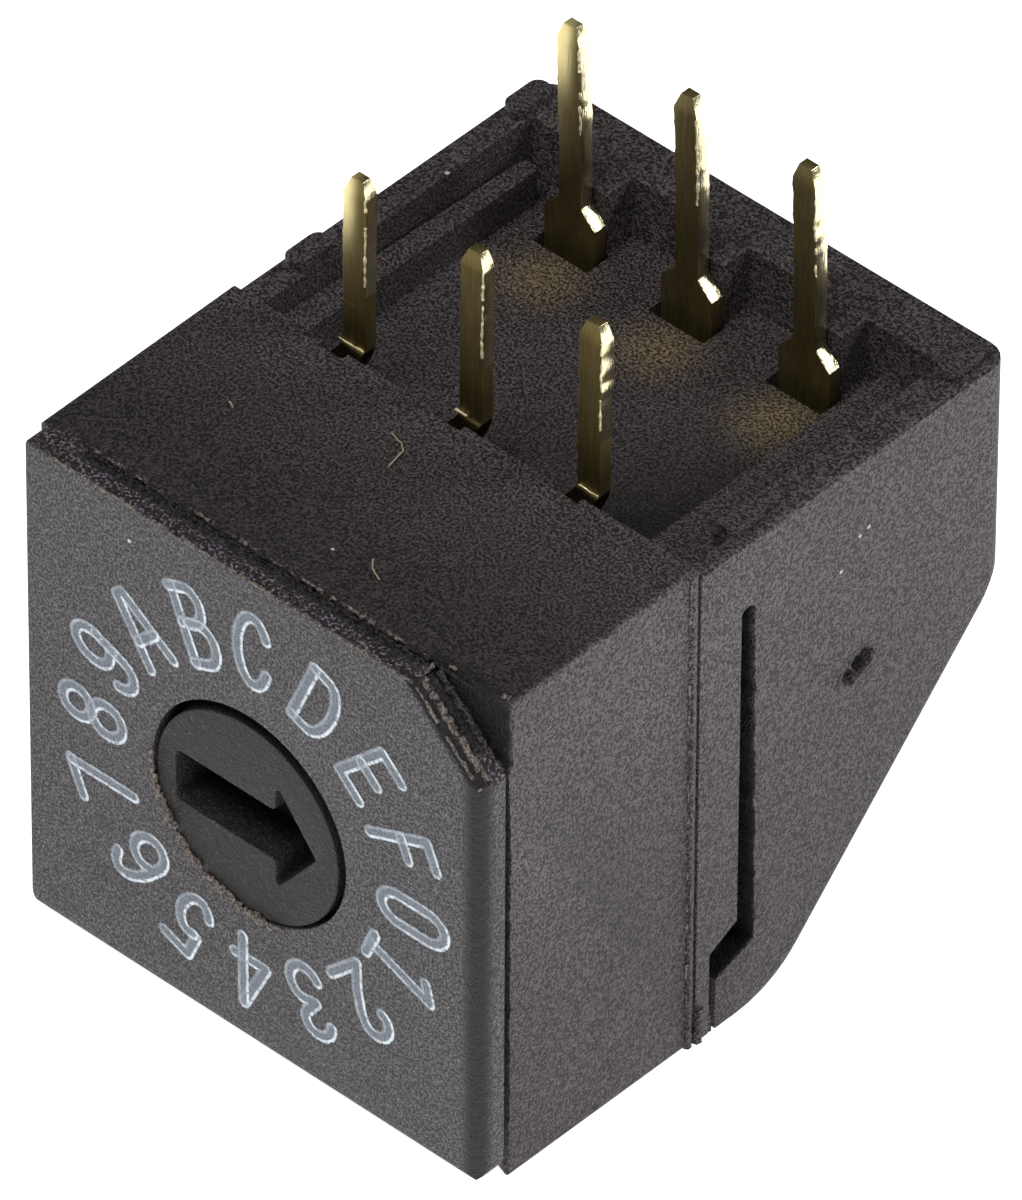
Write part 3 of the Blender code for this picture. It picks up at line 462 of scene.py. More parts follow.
def torn_rim(work):
    """The plate's top and cut edges, torn where it was broken from its strip, with painted shade in the
    groove behind the top edge, on the cut face and on the hole's wall.
    """
    slant = Vector((1.0, 0.0, 1.0)).normalized()
    square = Vector((1.0, 0.0, -1.0)).normalized()
    cut_place = CUT_SUM / math.sqrt(2)

    def high(centre):
        return centre.z > 8.5

    def rim(centre):
        return centre.z > PLATE_TOP - 0.16 or centre.x + centre.z > CUT_SUM - 0.4

    slice_across(work, UPWARD, [8.5])
    slice_across(work, UPWARD, [PLATE_TOP - 0.15, PLATE_TOP - 0.1, PLATE_TOP - 0.05], high)
    slice_across(work, slant, [cut_place - gap for gap in (0.25, 0.2, 0.15, 0.1, 0.05)], high)
    slice_across(work, INTO, steps(front + 0.1, front + 0.54, 0.044), rim)
    slice_across(work, ACROSS, steps(-4.7, 3.9, 0.05), rim)
    slice_across(work, square, steps(-4.75, -2.6, 0.05), rim)
    torn = work.verts.layers.float.new("torn")
    painted_shade = work.verts.layers.float.new("painted_shade")
    for vert in work.verts:
        x, y, z = vert.co / MM
        deep = y - front
        top_gap = PLATE_TOP - z
        cut_gap = (CUT_SUM - x - z) / math.sqrt(2)
        if top_gap < 0.03 and x < 3.7:
            lumps = 0.03 * rough(x, y, z, 0.16) + 0.02 * rough(x, y, z, 0.07)
            valley = 0.13 * ease(deep, STRIP_DEPTH - 0.04, STRIP_DEPTH + 0.08) * ease(x, -4.15, -3.8)
            chip = 0.05 * max(0.0, rough(x, 3, 0, 0.2)) * (1 - ease(deep, 0.05, 0.16))
            vert.co.z += (lumps - valley - chip) * MM
            sunk = ease(deep, STRIP_DEPTH, STRIP_DEPTH + 0.06) * ease(x, -4.15, -3.8)
            crumbs = max(0.0, rough(x, 9, deep, 0.1))
            vert[torn] = ease(deep, 0.0, 0.05) * (1 - sunk) + 0.5 * crumbs * sunk
            # Painted shade in the groove behind the top strip, lighter where crumbs lie.
            vert[painted_shade] = (0.72 - 0.5 * crumbs) * sunk
        if cut_gap < 0.3 and z > 8.6:
            corner = max(0.0, BAND_WIDTH - deep - cut_gap) / 2
            vert.co.y += corner * MM
            vert.co -= slant * (corner * MM)
            # Painted shade on the rounded front edge of the cut face.
            vert[painted_shade] = 0.9 * ease(corner, 0.0, 0.02)
            if cut_gap < 0.03 and deep > BAND_WIDTH:
                low_end = 1 - ease(z, 9.0, 9.25)
                lumps = 0.035 * rough(x, y, z, 0.14) + 0.02 * rough(x, y, z, 0.06)
                behind = 0.12 * ease(deep, BAND_WIDTH + 0.09, BAND_WIDTH + 0.2) * (1 - low_end)
                vert.co += slant * ((lumps - behind) * MM)
                ridge = 1 - ease(deep, BAND_WIDTH + 0.04, BAND_WIDTH + 0.1)
                vert[torn] = max(low_end, ridge)
                # Painted shade on the rear part of the cut face, away from the torn ridge.
                vert[painted_shade] = 0.7 * (1 - vert[torn])
        if math.hypot(x, z - AXIS_HEIGHT) < 2.4:
            vert.co += HOLE_SHIFT * MM
            # Painted shade on the hole's wall.
            vert[painted_shade] = ease(deep, 0.03, 0.08)


grey_nylon = finish("grey_nylon", dial_grey, IOR=1.5, Specular_IOR_Level=0.45)
moulding("dial_plate", 0.03, grey_nylon, worked=torn_rim)


# Rotor: one black nylon moulding, turned by a screwdriver in its sunk arrow. It sits
# in the body's bore behind the dial plate, and its head fills the plate's hole.
def rotor_black(place):
    return pitted(place, (0.008, 0.007, 0.006), (0.034, 0.031, 0.03), (0.1, 0.09, 0.09))


HEAD_RECESS = 0.13
HEAD_RADIUS = 1.98


def flush_head(work):
    """The head stands level with the dial, a little narrower than its hole, with painted shade round its
    rim.
    """
    painted_shade = work.verts.layers.float.new("painted_shade")
    for vert in work.verts:
        x, y, z = vert.co / MM
        if y < front + 0.6:
            across = math.hypot(x, z - AXIS_HEIGHT)
            if across > 1.8:
                inset = 1 - min(1.0, HEAD_RADIUS / across)
                vert.co -= Vector((x, 0.0, z - AXIS_HEIGHT)) * (inset * MM)
                # Painted shade round the head's rim.
                vert[painted_shade] = 0.9 * ease(across, HEAD_RADIUS - 0.05, HEAD_RADIUS)
            vert.co.y -= HEAD_RECESS * (1 - ease(y - front, 0.3, 0.6)) * MM


rotor_nylon = finish("rotor_nylon", rotor_black, IOR=1.42)
moulding("rotor", 0.03, rotor_nylon, worked=flush_head)


# Characters: sixteen single-line numerals and letters stamped in pale ink round the
# hole. The tool squeezes the ink to both rims of each line, so every line shows as
# two chalky outlines with a thin film between them.
DIAL_RADIUS = 3.45
DIAL_CENTRE = Vector((0.17, 0.0, 0.185))
DIAL_SPAN = 9.4
INK_HALF_WIDTH = 0.125
INK_MARGIN = 1.35
INK_CELL = 0.03
INK_LIFT = 0.004


def line(*points):
    return list(points)


def oval(x, y, wide, high, start, end):
    """Points on part of an oval, from one angle to the other in degrees."""
    count = max(2, round(abs(end - start) / 12))
    angles = [math.radians(start + (end - start) * step / count) for step in range(count + 1)]
    return [(x + wide * math.cos(angle), y + high * math.sin(angle)) for angle in angles]


def characters():
    """Strokes of each character in millimetres from its middle, in dial order."""
    nought = oval(0.085, 0.28, 0.3, 0.38, 180, 0) + oval(0.085, -0.33, 0.3, 0.38, 0, -180)
    two_tail = line((0.36, 0.18), (0.1, -0.22), (-0.27, -0.61), (0.52, -0.61))
    three_top = oval(0.12, 0.43, 0.29, 0.26, 165, -60) + line((0.02, 0.06))
    three = three_top + oval(0.15, -0.3, 0.32, 0.34, 60, -170)
    nine_tail = line((0.275, 0.42)) + oval(-0.02, -0.22, 0.295, 0.37, 0, -160)
    top_bowl = line((-0.3, 0.735)) + oval(0.05, 0.4, 0.26, 0.335, 90, -90) + line((-0.235, 0.06))
    low_bowl = line((-0.1, 0.06)) + oval(0.1, -0.32, 0.28, 0.37, 90, -90) + line((-0.235, -0.69))
    dee = line((-0.28, 0.68)) + oval(0.05, 0.0, 0.32, 0.68, 90, -90) + line((-0.28, -0.68))
    bracket = line((0.4, 0.635), (-0.185, 0.635), (-0.185, -0.665), (0.4, -0.665))
    return [
        [nought + nought[:1]],
        [line((-0.19, 0.47), (0.12, 0.7), (0.12, -0.67)), line((-0.12, -0.68), (0.4, -0.68))],
        [oval(0.15, 0.42, 0.28, 0.27, 200, -15) + two_tail],
        [three],
        [line((0.26, 0.76), (-0.22, -0.235), (0.47, -0.225)), line((0.27, 0.76), (0.285, -0.66))],
        [line((0.44, 0.78), (-0.115, 0.78), (-0.115, 0.26)), oval(0.08, -0.13, 0.29, 0.42, 115, -150)],
        [oval(0.03, 0.14, 0.32, 0.66, 40, 180) + oval(0.03, -0.17, 0.31, 0.35, 180, 500)],
        [line((-0.33, 0.79), (0.38, 0.79)), line((0.36, 0.76), (-0.16, -0.5))],
        [oval(0.03, 0.46, 0.29, 0.31, -90, 270), oval(0.01, -0.21, 0.31, 0.335, 90, 450)],
        [oval(-0.01, 0.38, 0.285, 0.39, 0, 290) + line((0.26, 0.03)), nine_tail],
        [line((-0.4, -0.65), (-0.09, 0.7), (0.07, 0.7), (0.3, -0.65)), line((-0.25, -0.15), (0.22, -0.15))],
        [line((-0.235, 0.72), (-0.235, -0.68)), top_bowl, low_bowl],
        [oval(-0.03, 0.0, 0.34, 0.7, 33, 330)],
        [line((-0.28, 0.68), (-0.28, -0.68)), dee],
        [bracket, line((-0.185, -0.01), (0.3, -0.01))],
        [line((0.4, 0.635), (-0.15, 0.635), (-0.15, -0.7)), line((-0.15, 0.035), (0.27, 0.035))],
    ]


class Tree:
    """A Geometry Nodes tree under construction, with one call per node."""

    def __init__(self, name, inputs):
        self.tree = bpy.data.node_groups.new(name, "GeometryNodeTree")
        self.tree.interface.new_socket("Geometry", in_out="INPUT", socket_type="NodeSocketGeometry")
        for label, kind in inputs.items():
            self.tree.interface.new_socket(label, in_out="INPUT", socket_type="NodeSocket" + kind)
        self.tree.interface.new_socket("Geometry", in_out="OUTPUT", socket_type="NodeSocketGeometry")
        self.given = self.tree.nodes.new("NodeGroupInput").outputs

    def node(self, kind, settings, inputs, output=0):
        made = self.tree.nodes.new(kind)
        for name, value in settings.items():
            setattr(made, name, value)
        for name, value in inputs.items():
            if isinstance(value, bpy.types.NodeSocket):
                self.tree.links.new(value, made.inputs[name])
            else:
                made.inputs[name].default_value = value
        return made.outputs[output]

    def math(self, operation, *values):
        return self.node("ShaderNodeMath", {"operation": operation}, dict(enumerate(values)))

    def close(self, geometry, material):
        real = self.node("GeometryNodeRealizeInstances", {}, {0: geometry})
        dressed = self.node("GeometryNodeSetMaterial", {}, {"Geometry": real, "Material": material})
        self.tree.links.new(dressed, self.tree.nodes.new("NodeGroupOutput").inputs[0])

    def run(self, piece, **values):
        """Give the piece this tree's result as its plain mesh."""
        change = piece.modifiers.new(self.tree.name, "NODES")
        change.node_group = self.tree
        for item in self.tree.interface.items_tree:
            if item.in_out == "INPUT" and item.name in values:
                change[item.identifier] = values[item.name]
        settle(piece)


def path_piece(name, chains):
    """An edge mesh through each chain of points in millimetres."""
    work = bmesh.new()
    for chain in chains:
        verts = [work.verts.new(Vector(point) * MM) for point in chain]
        for pair in zip(verts, verts[1:]):
            work.edges.new(pair)
    return new_piece(name, work)


def ink_tree(material):
    """A fine grid over the dial, kept only near the strokes, that knows how near it is."""
    tree = Tree("stamped_ink", {"Span": "Float", "Cell": "Float", "Half width": "Float"})
    span, cell, half = tree.given["Span"], tree.given["Cell"], tree.given["Half width"]
    count = tree.math("DIVIDE", span, cell)
    extent = {"Size X": span, "Size Y": span, "Vertices X": count, "Vertices Y": count}
    grid = tree.node("GeometryNodeMeshGrid", {}, extent)
    nearest = tree.tree.nodes.new("GeometryNodeProximity")
    nearest.target_element = "EDGES"
    tree.tree.links.new(tree.given["Geometry"], nearest.inputs[0])
    reach = tree.math("DIVIDE", nearest.outputs["Distance"], half)
    here = tree.node("GeometryNodeInputPosition", {}, {})
    offset = {0: here, 1: nearest.outputs["Position"]}
    away = tree.node("ShaderNodeVectorMath", {"operation": "SUBTRACT"}, offset)
    # The signed offset across each line, kept as side, drives painted light on the ink.
    lit_side = {0: away, 1: (0.95, -0.3, 0.0)}
    across = tree.node("ShaderNodeVectorMath", {"operation": "DOT_PRODUCT"}, lit_side, "Value")
    side = tree.math("DIVIDE", across, half)
    far = tree.node("FunctionNodeCompare", {"operation": "GREATER_THAN"}, {0: reach, 1: INK_MARGIN})
    for label, value in (("reach", reach), ("side", side)):
        stored = {"Geometry": grid, "Name": label, "Value": value}
        grid = tree.node("GeometryNodeStoreNamedAttribute", {"data_type": "FLOAT"}, stored)
    cut_off = {"Geometry": grid, "Selection": far}
    tree.close(tree.node("GeometryNodeDeleteGeometry", {"domain": "POINT"}, cut_off), material)
    return tree


def pale_ink(place):
    """Chalky ink, thick and bright at both rims of a line and thin between them, with painted light making
    the rims on one side of each line brighter.
    """
    reach = place.attribute("reach")
    side = place.attribute("side")
    chalk = place.noise(0.04, 2.0, 0.6)
    patch = place.noise(0.3, 2.0)
    whole = place.noise(0.1, 2.0, 0.6).between(0.36, 0.52)
    worn = reach + 0.35 * (chalk - 0.5)
    rim = worn.between(0.36, 0.6) * (1 - worn.between(0.88, 1.1))
    # Painted light: the rims on one side of a line are brighter, as if that wall of a groove caught the
    # light.
    lit = 0.4 + 0.4 * side.between(-0.8, 0.8) + 0.6 * (patch - 0.5)
    film = (1 - worn.between(0.8, 1.0)) * (0.18 + 0.55 * chalk)
    cover = (rim * lit * (0.5 + 0.75 * whole)).most(film)
    return {
        "Base Color": (rim * lit).tint((0.36, 0.41, 0.48), (0.8, 0.88, 0.93)),
        "Alpha": cover,
        "Roughness": 0.6 + 0.3 * chalk,
        "Normal": chalk.bump(0.012),
    }


ink = finish("pale_ink", pale_ink, IOR=1.4)
middle = DIAL_CENTRE + Vector((0.0, front, AXIS_HEIGHT))
layers = [[], [], []]
for position, strokes in enumerate(characters()):
    turn = Matrix.Rotation(-math.tau * position / 16 - math.pi / 2, 2)
    for layer, stroke in zip(layers, strokes):
        placed = [turn @ Vector((x, y + DIAL_RADIUS)) for x, y in stroke]
        layer.append([(point.x, point.y, 0.0) for point in placed])
stamped = ink_tree(ink)
joined = bmesh.new()
for order, layer in enumerate(layers):
    piece = path_piece("ink_layer", layer)
    sizes = {"Span": DIAL_SPAN * MM, "Cell": INK_CELL * MM, "Half width": INK_HALF_WIDTH * MM}
    stamped.run(piece, **sizes)
    piece.data.transform(Matrix.Translation((0.0, 0.0, (order + 1) * INK_LIFT * MM)))
    joined.from_mesh(piece.data)
    bpy.data.objects.remove(piece)
characters_piece = new_piece("dial_characters", joined)
characters_piece.data.transform(Matrix.Translation(middle * MM) @ Matrix.Rotation(math.pi / 2, 4, "X"))
characters_piece.data.materials.append(ink)
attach(characters_piece, "case")


# Burrs and flash: thin fins of nylon, pale where stretched, left where parts meet and
# where the dial plate was snapped from its strip; crumbs in the seam behind the plate
# and fibres of dust on the body. Each follows a line, wavers and breaks off in places.
STEP = 0.035
GAP_LENGTH = 0.35
DRIFT_LENGTH = 0.13
LUMP_LENGTH = 0.09


def run_of(*corners):
    """Points along straight stretches; a corner is x, depth behind the dial, height."""
    places = [Vector((x, depth + front, z)) for x, depth, z in corners]
    points = []
    for first, last in zip(places, places[1:]):
        count = max(1, round((last - first).length / STEP))
        points += [first.lerp(last, step / count) for step in range(count)]
    return points + places[-1:]


def frayed_tree():
    """A ragged bead along each chain of edges, broken off where a noise runs low."""
    labels = dict.fromkeys(("Size", "Swell", "Waver", "Gaps", "Seed"), "Float")
    labels["Material"] = "Material"
    tree = Tree("frayed_bead", labels)
    given = tree.given
    here = tree.node("GeometryNodeInputPosition", {}, {})

    def cloud(size, output):
        look = {"Vector": here, "W": given["Seed"], "Scale": 1 / (size * MM), "Detail": 1.0}
        return tree.node("ShaderNodeTexNoise", {"noise_dimensions": "4D"}, look, output)

    low = {0: cloud(GAP_LENGTH, 0), 1: given["Gaps"]}
    broken = tree.node("FunctionNodeCompare", {"operation": "LESS_THAN"}, low)
    pieces = {"Geometry": given["Geometry"], "Selection": broken}
    kept = tree.node("GeometryNodeDeleteGeometry", {"domain": "POINT"}, pieces)
    curve = tree.node("GeometryNodeMeshToCurve", {}, {0: kept})
    offset = {0: cloud(DRIFT_LENGTH, 1), 1: (0.5, 0.5, 0.5)}
    centred = tree.node("ShaderNodeVectorMath", {"operation": "SUBTRACT"}, offset)
    drift = tree.node("ShaderNodeVectorMath", {"operation": "SCALE"}, {0: centred, "Scale": given["Waver"]})
    wavy = tree.node("GeometryNodeSetPosition", {}, {"Geometry": curve, "Offset": drift})
    lump = tree.math("SUBTRACT", tree.math("MULTIPLY", cloud(LUMP_LENGTH, 0), 4.0), 2.0)
    swell = tree.math("MAXIMUM", tree.math("MULTIPLY_ADD", lump, given["Swell"], 1.0), 0.15)
    round_bead = tree.node("GeometryNodeCurvePrimitiveCircle", {}, {"Resolution": 6, "Radius": 1.0})
    width = tree.math("MULTIPLY", swell, given["Size"])
    section = {"Curve": wavy, "Profile Curve": round_bead, "Scale": width, "Fill Caps": True}
    tree.close(tree.node("GeometryNodeCurveToMesh", {}, section), given["Material"])
    return tree


def frayed(name, chains, material, size, swell, waver, gaps, seed):
    piece = path_piece(name, chains)
    lengths = {"Size": size * MM, "Waver": waver * MM, "Swell": swell, "Gaps": gaps, "Seed": seed}
    frayed_bead.run(piece, **lengths, Material=material)
    piece.data.shade_smooth()
    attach(piece, "case")


def stretched_nylon(place):
    grain = place.noise(0.05, 2.0, 0.7)
    return {
        "Base Color": grain.between(0.4, 0.65).tint((0.035, 0.026, 0.022), (0.26, 0.215, 0.185)),
        "Roughness": 0.45 + 0.3 * grain,
        "Normal": grain.bump(0.02),
    }


def fibre_tan(place):
    grain = place.noise(0.08, 1.0)
    return {"Base Color": grain.tint((0.2, 0.16, 0.1), (0.55, 0.46, 0.34)), "Roughness": 0.6 + 0.2 * grain}


frayed_bead = frayed_tree()
stretched = finish("stretched_nylon", stretched_nylon, IOR=1.5)
fibre = finish("dust_fibre", fibre_tan, IOR=1.4)
rim_line = [run_of((-4.5, 0.02, 10.16), (3.55, 0.02, 10.16)), run_of((3.6, 0.05, 10.08), (4.98, 0.05, 8.73))]
frayed(
    "plate_front_burr", rim_line, stretched,
    size=0.026, swell=0.8, waver=0.05, gaps=0.38, seed=1.0,
)
ridge_line = [run_of((3.58, depth, 10.16), (4.97, depth, 8.82)) for depth in (0.19, 0.24)]
ridge_line.append(run_of((3.56, 0.14, 10.2), (3.56, 0.5, 10.2)))
frayed(
    "plate_cut_ridge", ridge_line, stretched,
    size=0.04, swell=1.0, waver=0.09, gaps=0.38, seed=2.0,
)
body_edge = [run_of((-4.6, 0.6, 10.16), (3.4, 0.62, 10.16)), run_of((3.6, 0.7, 10.15), (4.95, 0.79, 10.15))]
frayed(
    "body_front_chips", body_edge, stretched,
    size=0.032, swell=1.0, waver=0.08, gaps=0.52, seed=3.0,
)
seam_line = [run_of((-3.95, 0.585, 10.085), (3.5, 0.585, 10.085))]
seam_line.append(run_of((3.6, 0.57, 10.08), (4.93, 0.58, 8.78)))
frayed(
    "seam_crumbs", seam_line, black_nylon,
    size=0.055, swell=0.7, waver=0.08, gaps=0.0, seed=9.0,
)
joint_line = [run_of((5.03, 4.91, -0.02), (5.03, 4.91, 10.14))]
frayed(
    "joint_bead", joint_line, black_nylon,
    size=0.075, swell=0.12, waver=0.02, gaps=0.0, seed=4.0,
)
joint_fin = [run_of((5.06, 5.12, 0.1), (5.06, 5.1, 9.98)), run_of((5.05, 4.84, 0.0), (5.05, 4.84, 10.1))]
frayed(
    "joint_flash", joint_fin, stretched,
    size=0.017, swell=0.9, waver=0.05, gaps=0.52, seed=5.0,
)
foot_lumps = [run_of((4.97, 5.41, -0.02), (4.97, 5.4, 0.6)), run_of((5.04, 5.1, -0.05), (5.05, 5.14, 0.7))]
frayed(
    "joint_foot_flash", foot_lumps, black_nylon,
    size=0.085, swell=0.5, waver=0.06, gaps=0.0, seed=8.0,
)
hole_middle = HOLE_SHIFT + Vector((0.0, 0.0, AXIS_HEIGHT))


def hole_arc(radius, start, end):
    """Points round the dial's hole, just before the face, from one angle to the other."""
    turns = [math.radians(angle) for angle in steps(start, end, 3)]
    ring = [(radius * math.cos(turn), radius * math.sin(turn)) for turn in turns]
    return run_of(*[(x + hole_middle.x, -0.03, z + hole_middle.z) for x, z in ring])


hole_rim = [hole_arc(2.11, 176, 292), hole_arc(2.07, 190, 278), hole_arc(2.03, 200, 262)]
frayed(
    "hole_flash", hole_rim, stretched,
    size=0.042, swell=1.1, waver=0.13, gaps=0.36, seed=6.0,
)
fibres = [
    run_of((-0.71, 4.1, 10.19), (-0.4, 4.02, 10.2), (-0.24, 3.88, 10.22), (-0.19, 3.47, 10.19)),
    run_of((1.13, 1.7, 10.19), (1.3, 1.52, 10.21), (1.56, 1.42, 10.18)),
    run_of((-3.1, 2.9, 10.18), (-2.96, 2.84, 10.18)),
]
frayed(
    "loose_fibres", fibres, fibre,
    size=0.014, swell=0.3, waver=0.05, gaps=0.2, seed=7.0,
)


# Terminals: five stampings of gold-plated strip. Their flat rolled faces are dull and
# finely drawn lengthwise; the sheared sides and cut tips are bright and jagged.
PIN_FOOT = 9.88
PIN_TOP = 13.38
PIN_PLACES = (-2.79, -0.25, 2.29)
PIN_ROWS = (front + 5.585, front + 10.665)
BETWEEN_ROWS = sum(PIN_ROWS) / 2
PIN_HALF_WIDTH = 0.24
PIN_HALF_THICK = 0.135
REAR_LEAN = 0.08


def lean_at(rear, z):
    """How far a pin of that row has bent to one side at that height."""
    height = (z - PIN_FOOT) / (PIN_TOP - PIN_FOOT)
    return (-REAR_LEAN if rear else 0.03) * height * height


def plated_gold(place):
    """Dull drawn gold, bright where sheared, with painted shade at the front feet, a painted highlight high
    on the left pins and painted light that tints the rear row a little paler.
    """
    sheared = place.attribute("sheared")
    streak = place.stretched((1.0, 1.0, 14.0)).noise(0.035, 2.0, 0.6)
    cloud = place.noise(0.6, 2.0)
    deep = place.axis("Y").between(1.0 * MM, 3.0 * MM)
    high = place.axis("Z").between(11.6 * MM, 12.9 * MM)
    near_left = 1 - place.axis("X").between(-2.95 * MM, -2.65 * MM)
    low = 1 - place.axis("Z").between((PIN_FOOT - 0.01) * MM, (PIN_FOOT + 0.03) * MM)
    # Painted shade: the front pins' feet in their pits are painted near black.
    foot_shade = low * (1 - deep)
    rolled = streak.tint((0.12, 0.092, 0.034), (0.3, 0.235, 0.095))
    # Painted light: the rear row is tinted a little paler than the front row.
    shaded = (0.5 * deep).tint(rolled, streak.tint((0.14, 0.11, 0.05), (0.33, 0.27, 0.13)))
    # Painted highlight high on the left pins.
    lit = (near_left * high).tint(shaded, (0.95, 0.82, 0.42))
    bright = cloud.tint((1.0, 0.84, 0.4), (1.0, 0.96, 0.72))
    shown = sheared.tint(lit, bright)
    return {
        "Base Color": (0.97 * foot_shade).tint(shown, (0.004, 0.003, 0.002)),
        "Roughness": 0.5 - 0.36 * sheared + 0.1 * streak,
        "Normal": (streak + 0.3 * cloud).bump(0.008),
    }


def sheared_pin(work):
    """Waver the sheared sides, lean the rear pins and mark what the shears cut."""
    slice_across(work, UPWARD, steps(PIN_FOOT, 13.0, 0.09), lambda centre: centre.z > 10.0)
    for vert in work.verts:
        x, y, z = vert.co / MM
        if z > 10.0:
            rear = y > BETWEEN_ROWS
            middle = min(PIN_PLACES, key=lambda place: abs(place - x))
            side = 1.0 if x > middle else -1.0
            # The front pins show their nub on the left side alone.
            if not rear and side > 0 and 10.6 < z < 10.9:
                vert.co.x = min(x, middle + PIN_HALF_WIDTH) * MM
            waver = 0.014 * rough(middle, side, z, 0.4)
            burr = 0.035 * max(0.0, rough(middle, 5 * side, z, 0.13)) * ease(z, 11.2, 11.7)
            vert.co.x += (lean_at(rear, z) + waver + side * burr) * MM
    sheared = work.faces.layers.float.new("sheared")
    for side in work.faces:
        side.normal_update()
        middle = side.calc_center_median() / MM
        lowest = 11.0 if middle.y < BETWEEN_ROWS else 9.0
        side[sheared] = 1.0 if abs(side.normal.x) > 0.4 and middle.z > lowest else 0.0


def burr_gold(place):
    cloud = place.noise(0.1, 2.0)
    return {"Base Color": cloud.tint((0.9, 0.74, 0.3), (1.0, 0.95, 0.7)), "Roughness": 0.2 + 0.2 * cloud}


gold = finish("plated_gold", plated_gold, Metallic=1.0)
for node in sorted(frame["nodes"]):
    if node.startswith("terminal_co"):
        moulding(node, 0.03, gold, 2, 30, sheared_pin)
bright_burr = finish("burr_gold", burr_gold, Metallic=0.35)
for row, rear in zip(PIN_ROWS, (False, True)):
    for order, place in enumerate(PIN_PLACES):
        edge = place + PIN_HALF_WIDTH
        depth = row - front - PIN_HALF_THICK
        heights = steps(11.3, 13.1, 0.1)
        burrs = [run_of(*[(edge + lean_at(rear, z), depth, z) for z in heights])]
        if not rear:
            burrs.append(run_of((place - 0.3, depth - 0.02, 9.93), (edge, depth - 0.02, 9.93)))
        frayed(
            f"pin_burr_{'rear' if rear else 'front'}_{order + 1}", burrs, bright_burr,
            size=0.02, swell=0.8, waver=0.05, gaps=0.4, seed=10.0 + order + 3 * rear,
        )


# Inside parts: a rubber seal round the rotor, a detent spring of bright rolled strip,
# a gold wiper, and the glass-filled base and carrier that hold the contacts. Their own
# solids show; each has only its material.
def matt_rubber(place):
    bloom = place.noise(0.4, 3.0)
    black = bloom.tint((0.012, 0.012, 0.012), (0.03, 0.029, 0.028))
    return {"Base Color": black, "Roughness": 0.65 + 0.2 * bloom}


def rolled_steel(place):
    drawn = place.stretched((12.0, 1.0, 1.0)).noise(0.04, 2.0)
    return {
        "Base Color": drawn.tint((0.42, 0.42, 0.43), (0.66, 0.65, 0.64)),
        "Roughness": 0.22 + 0.2 * drawn,
        "Normal": drawn.bump(0.004),
    }


def wiper_gold(place):
    drawn = place.stretched((1.0, 1.0, 10.0)).noise(0.05, 2.0)
    return {"Base Color": drawn.tint((0.75, 0.55, 0.2), (0.92, 0.74, 0.36)), "Roughness": 0.2 + 0.15 * drawn}


def base_black(place):
    return pitted(place, (0.008, 0.007, 0.006), (0.05, 0.043, 0.038), (0.15, 0.14, 0.14))


base_nylon = finish("base_nylon", base_black, IOR=1.5)
inner_looks = {
    "rotor_seal": finish("seal_rubber", matt_rubber, IOR=1.5),
    "detent_spring": finish("spring_strip", rolled_steel, Metallic=1.0),
    "contact_wiper": finish("wiper_gold", wiper_gold, Metallic=1.0),
    "contact_base": base_nylon,
    "terminal_carrier": base_nylon,
}
for node, look in inner_looks.items():
    part = frame["nodes"][node]
    part.data.materials.clear()
    part.data.materials.append(look)


# Studio: a white floor that shines up at the box as the photographer's paper does, a
# soft lamp over the dial, a second behind on the right that whitens the sheared metal,
# and a camera at the photograph's angle.
def soft_light(name, place, size, power):
    """A round lamp that points at the box."""
    lamp = bpy.data.lights.new(name, "AREA")
    lamp.shape = "DISK"
    lamp.size = size
    lamp.energy = power
    thing = bpy.data.objects.new(name, lamp)
    bpy.context.scene.collection.objects.link(thing)
    thing.location = place
    thing.rotation_euler = (-Vector(place)).to_track_quat("-Z", "Y").to_euler()


def pale(place):
    cloud = place.noise(40.0, 1.0)
    return {"Base Color": cloud.tint((0.88, 0.88, 0.88), (0.9, 0.9, 0.9))}


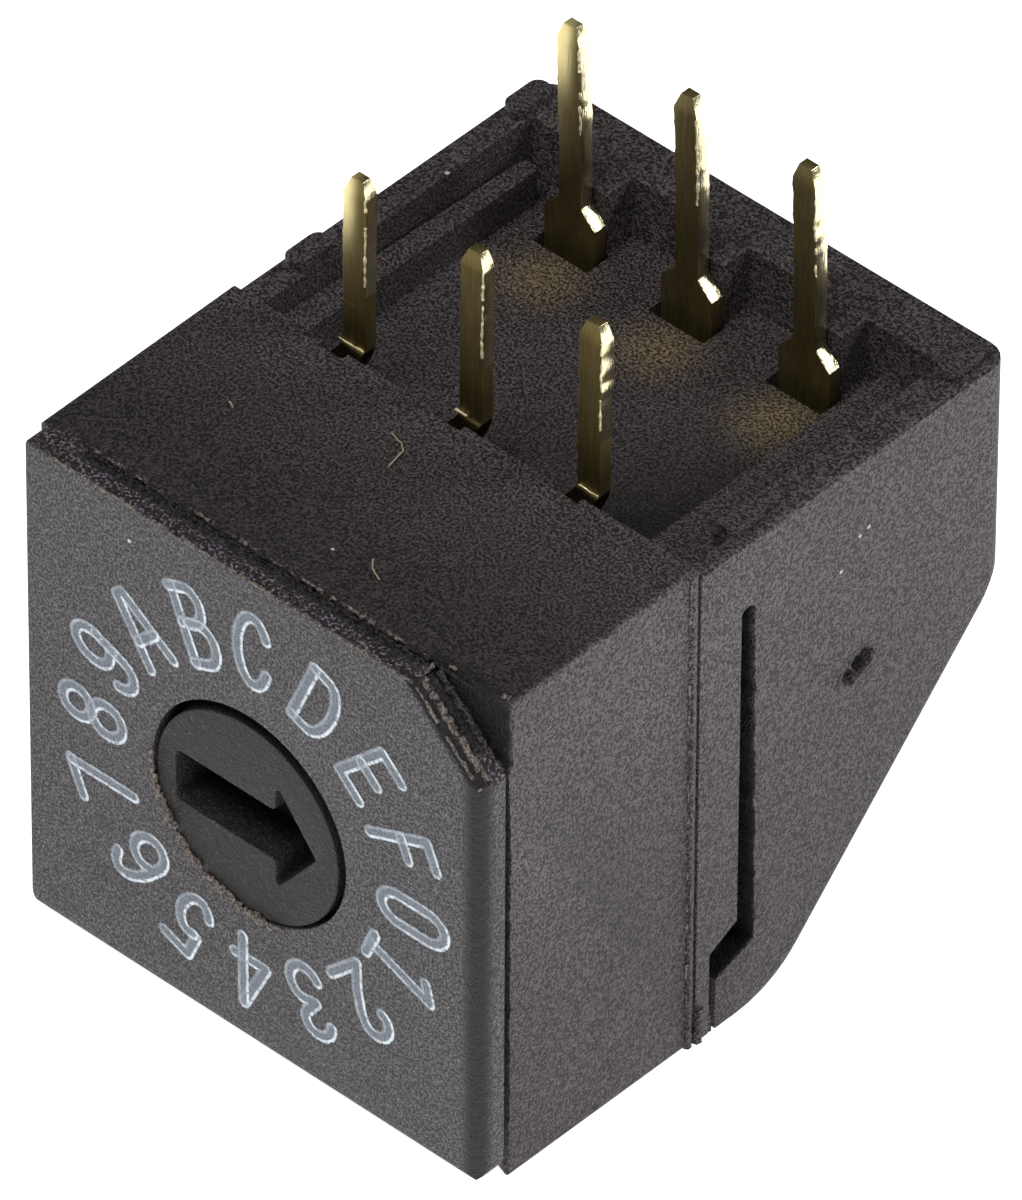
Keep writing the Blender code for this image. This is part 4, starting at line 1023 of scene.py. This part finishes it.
FLOOR_HALF = 0.6
FLOOR_SHINE = 0.97
floor_mesh = bpy.data.meshes.new("floor")
corners = [(x * FLOOR_HALF, y * FLOOR_HALF, 0) for x, y in ((-1, -1), (1, -1), (1, 1), (-1, 1))]
floor_mesh.from_pydata(corners, [], [(0, 1, 2, 3)])
floor = bpy.data.objects.new("floor", floor_mesh)
bpy.context.scene.collection.objects.link(floor)
white = (1.0, 1.0, 1.0, 1.0)
floor_paint = finish("pale_floor", pale, Roughness=0.7, Emission_Color=white, Emission_Strength=FLOOR_SHINE)
floor.data.materials.append(floor_paint)
soft_light("overhead", (0.0, -0.1, 0.26), 0.15, 0.48)
soft_light("right_rear", (0.166, 0.138, 0.127), 0.1, 0.2)
world = bpy.data.worlds.new("studio")
world.use_nodes = True
world.node_tree.nodes["Background"].inputs["Color"].default_value = white
world.node_tree.nodes["Background"].inputs["Strength"].default_value = 0.08
bpy.context.scene.world = world
bpy.context.scene.view_settings.view_transform = "Standard"

AZIMUTH = math.radians(42.561)
ELEVATION = math.radians(41.686)
ROLL = math.radians(0.328)
DISTANCE = 320
PIXELS_PER_MM = 62.345
PHOTO_WIDTH = 1022
SENSOR_WIDTH = 36.0
flat = math.cos(ELEVATION)
ahead = Vector((-math.sin(AZIMUTH) * flat, math.cos(AZIMUTH) * flat, -math.sin(ELEVATION)))
level = Vector((math.cos(AZIMUTH), math.sin(AZIMUTH), 0.0))
upward = level.cross(ahead)
right = level * math.cos(ROLL) + upward * math.sin(ROLL)
up = upward * math.cos(ROLL) - level * math.sin(ROLL)
aim = Vector((0.0, front + 6.0, 5.0)) + right * 0.109 + up * 0.622
camera = bpy.data.cameras.new("camera")
camera.sensor_fit = "HORIZONTAL"
camera.sensor_width = SENSOR_WIDTH
camera.lens = SENSOR_WIDTH * PIXELS_PER_MM * DISTANCE / PHOTO_WIDTH
camera.clip_start = 0.01
camera.clip_end = 5.0
viewer = bpy.data.objects.new("camera", camera)
bpy.context.scene.collection.objects.link(viewer)
facing = Matrix((right, up, -ahead)).transposed().to_4x4()
viewer.matrix_world = Matrix.Translation((aim - ahead * DISTANCE) * MM) @ facing
bpy.context.scene.camera = viewer
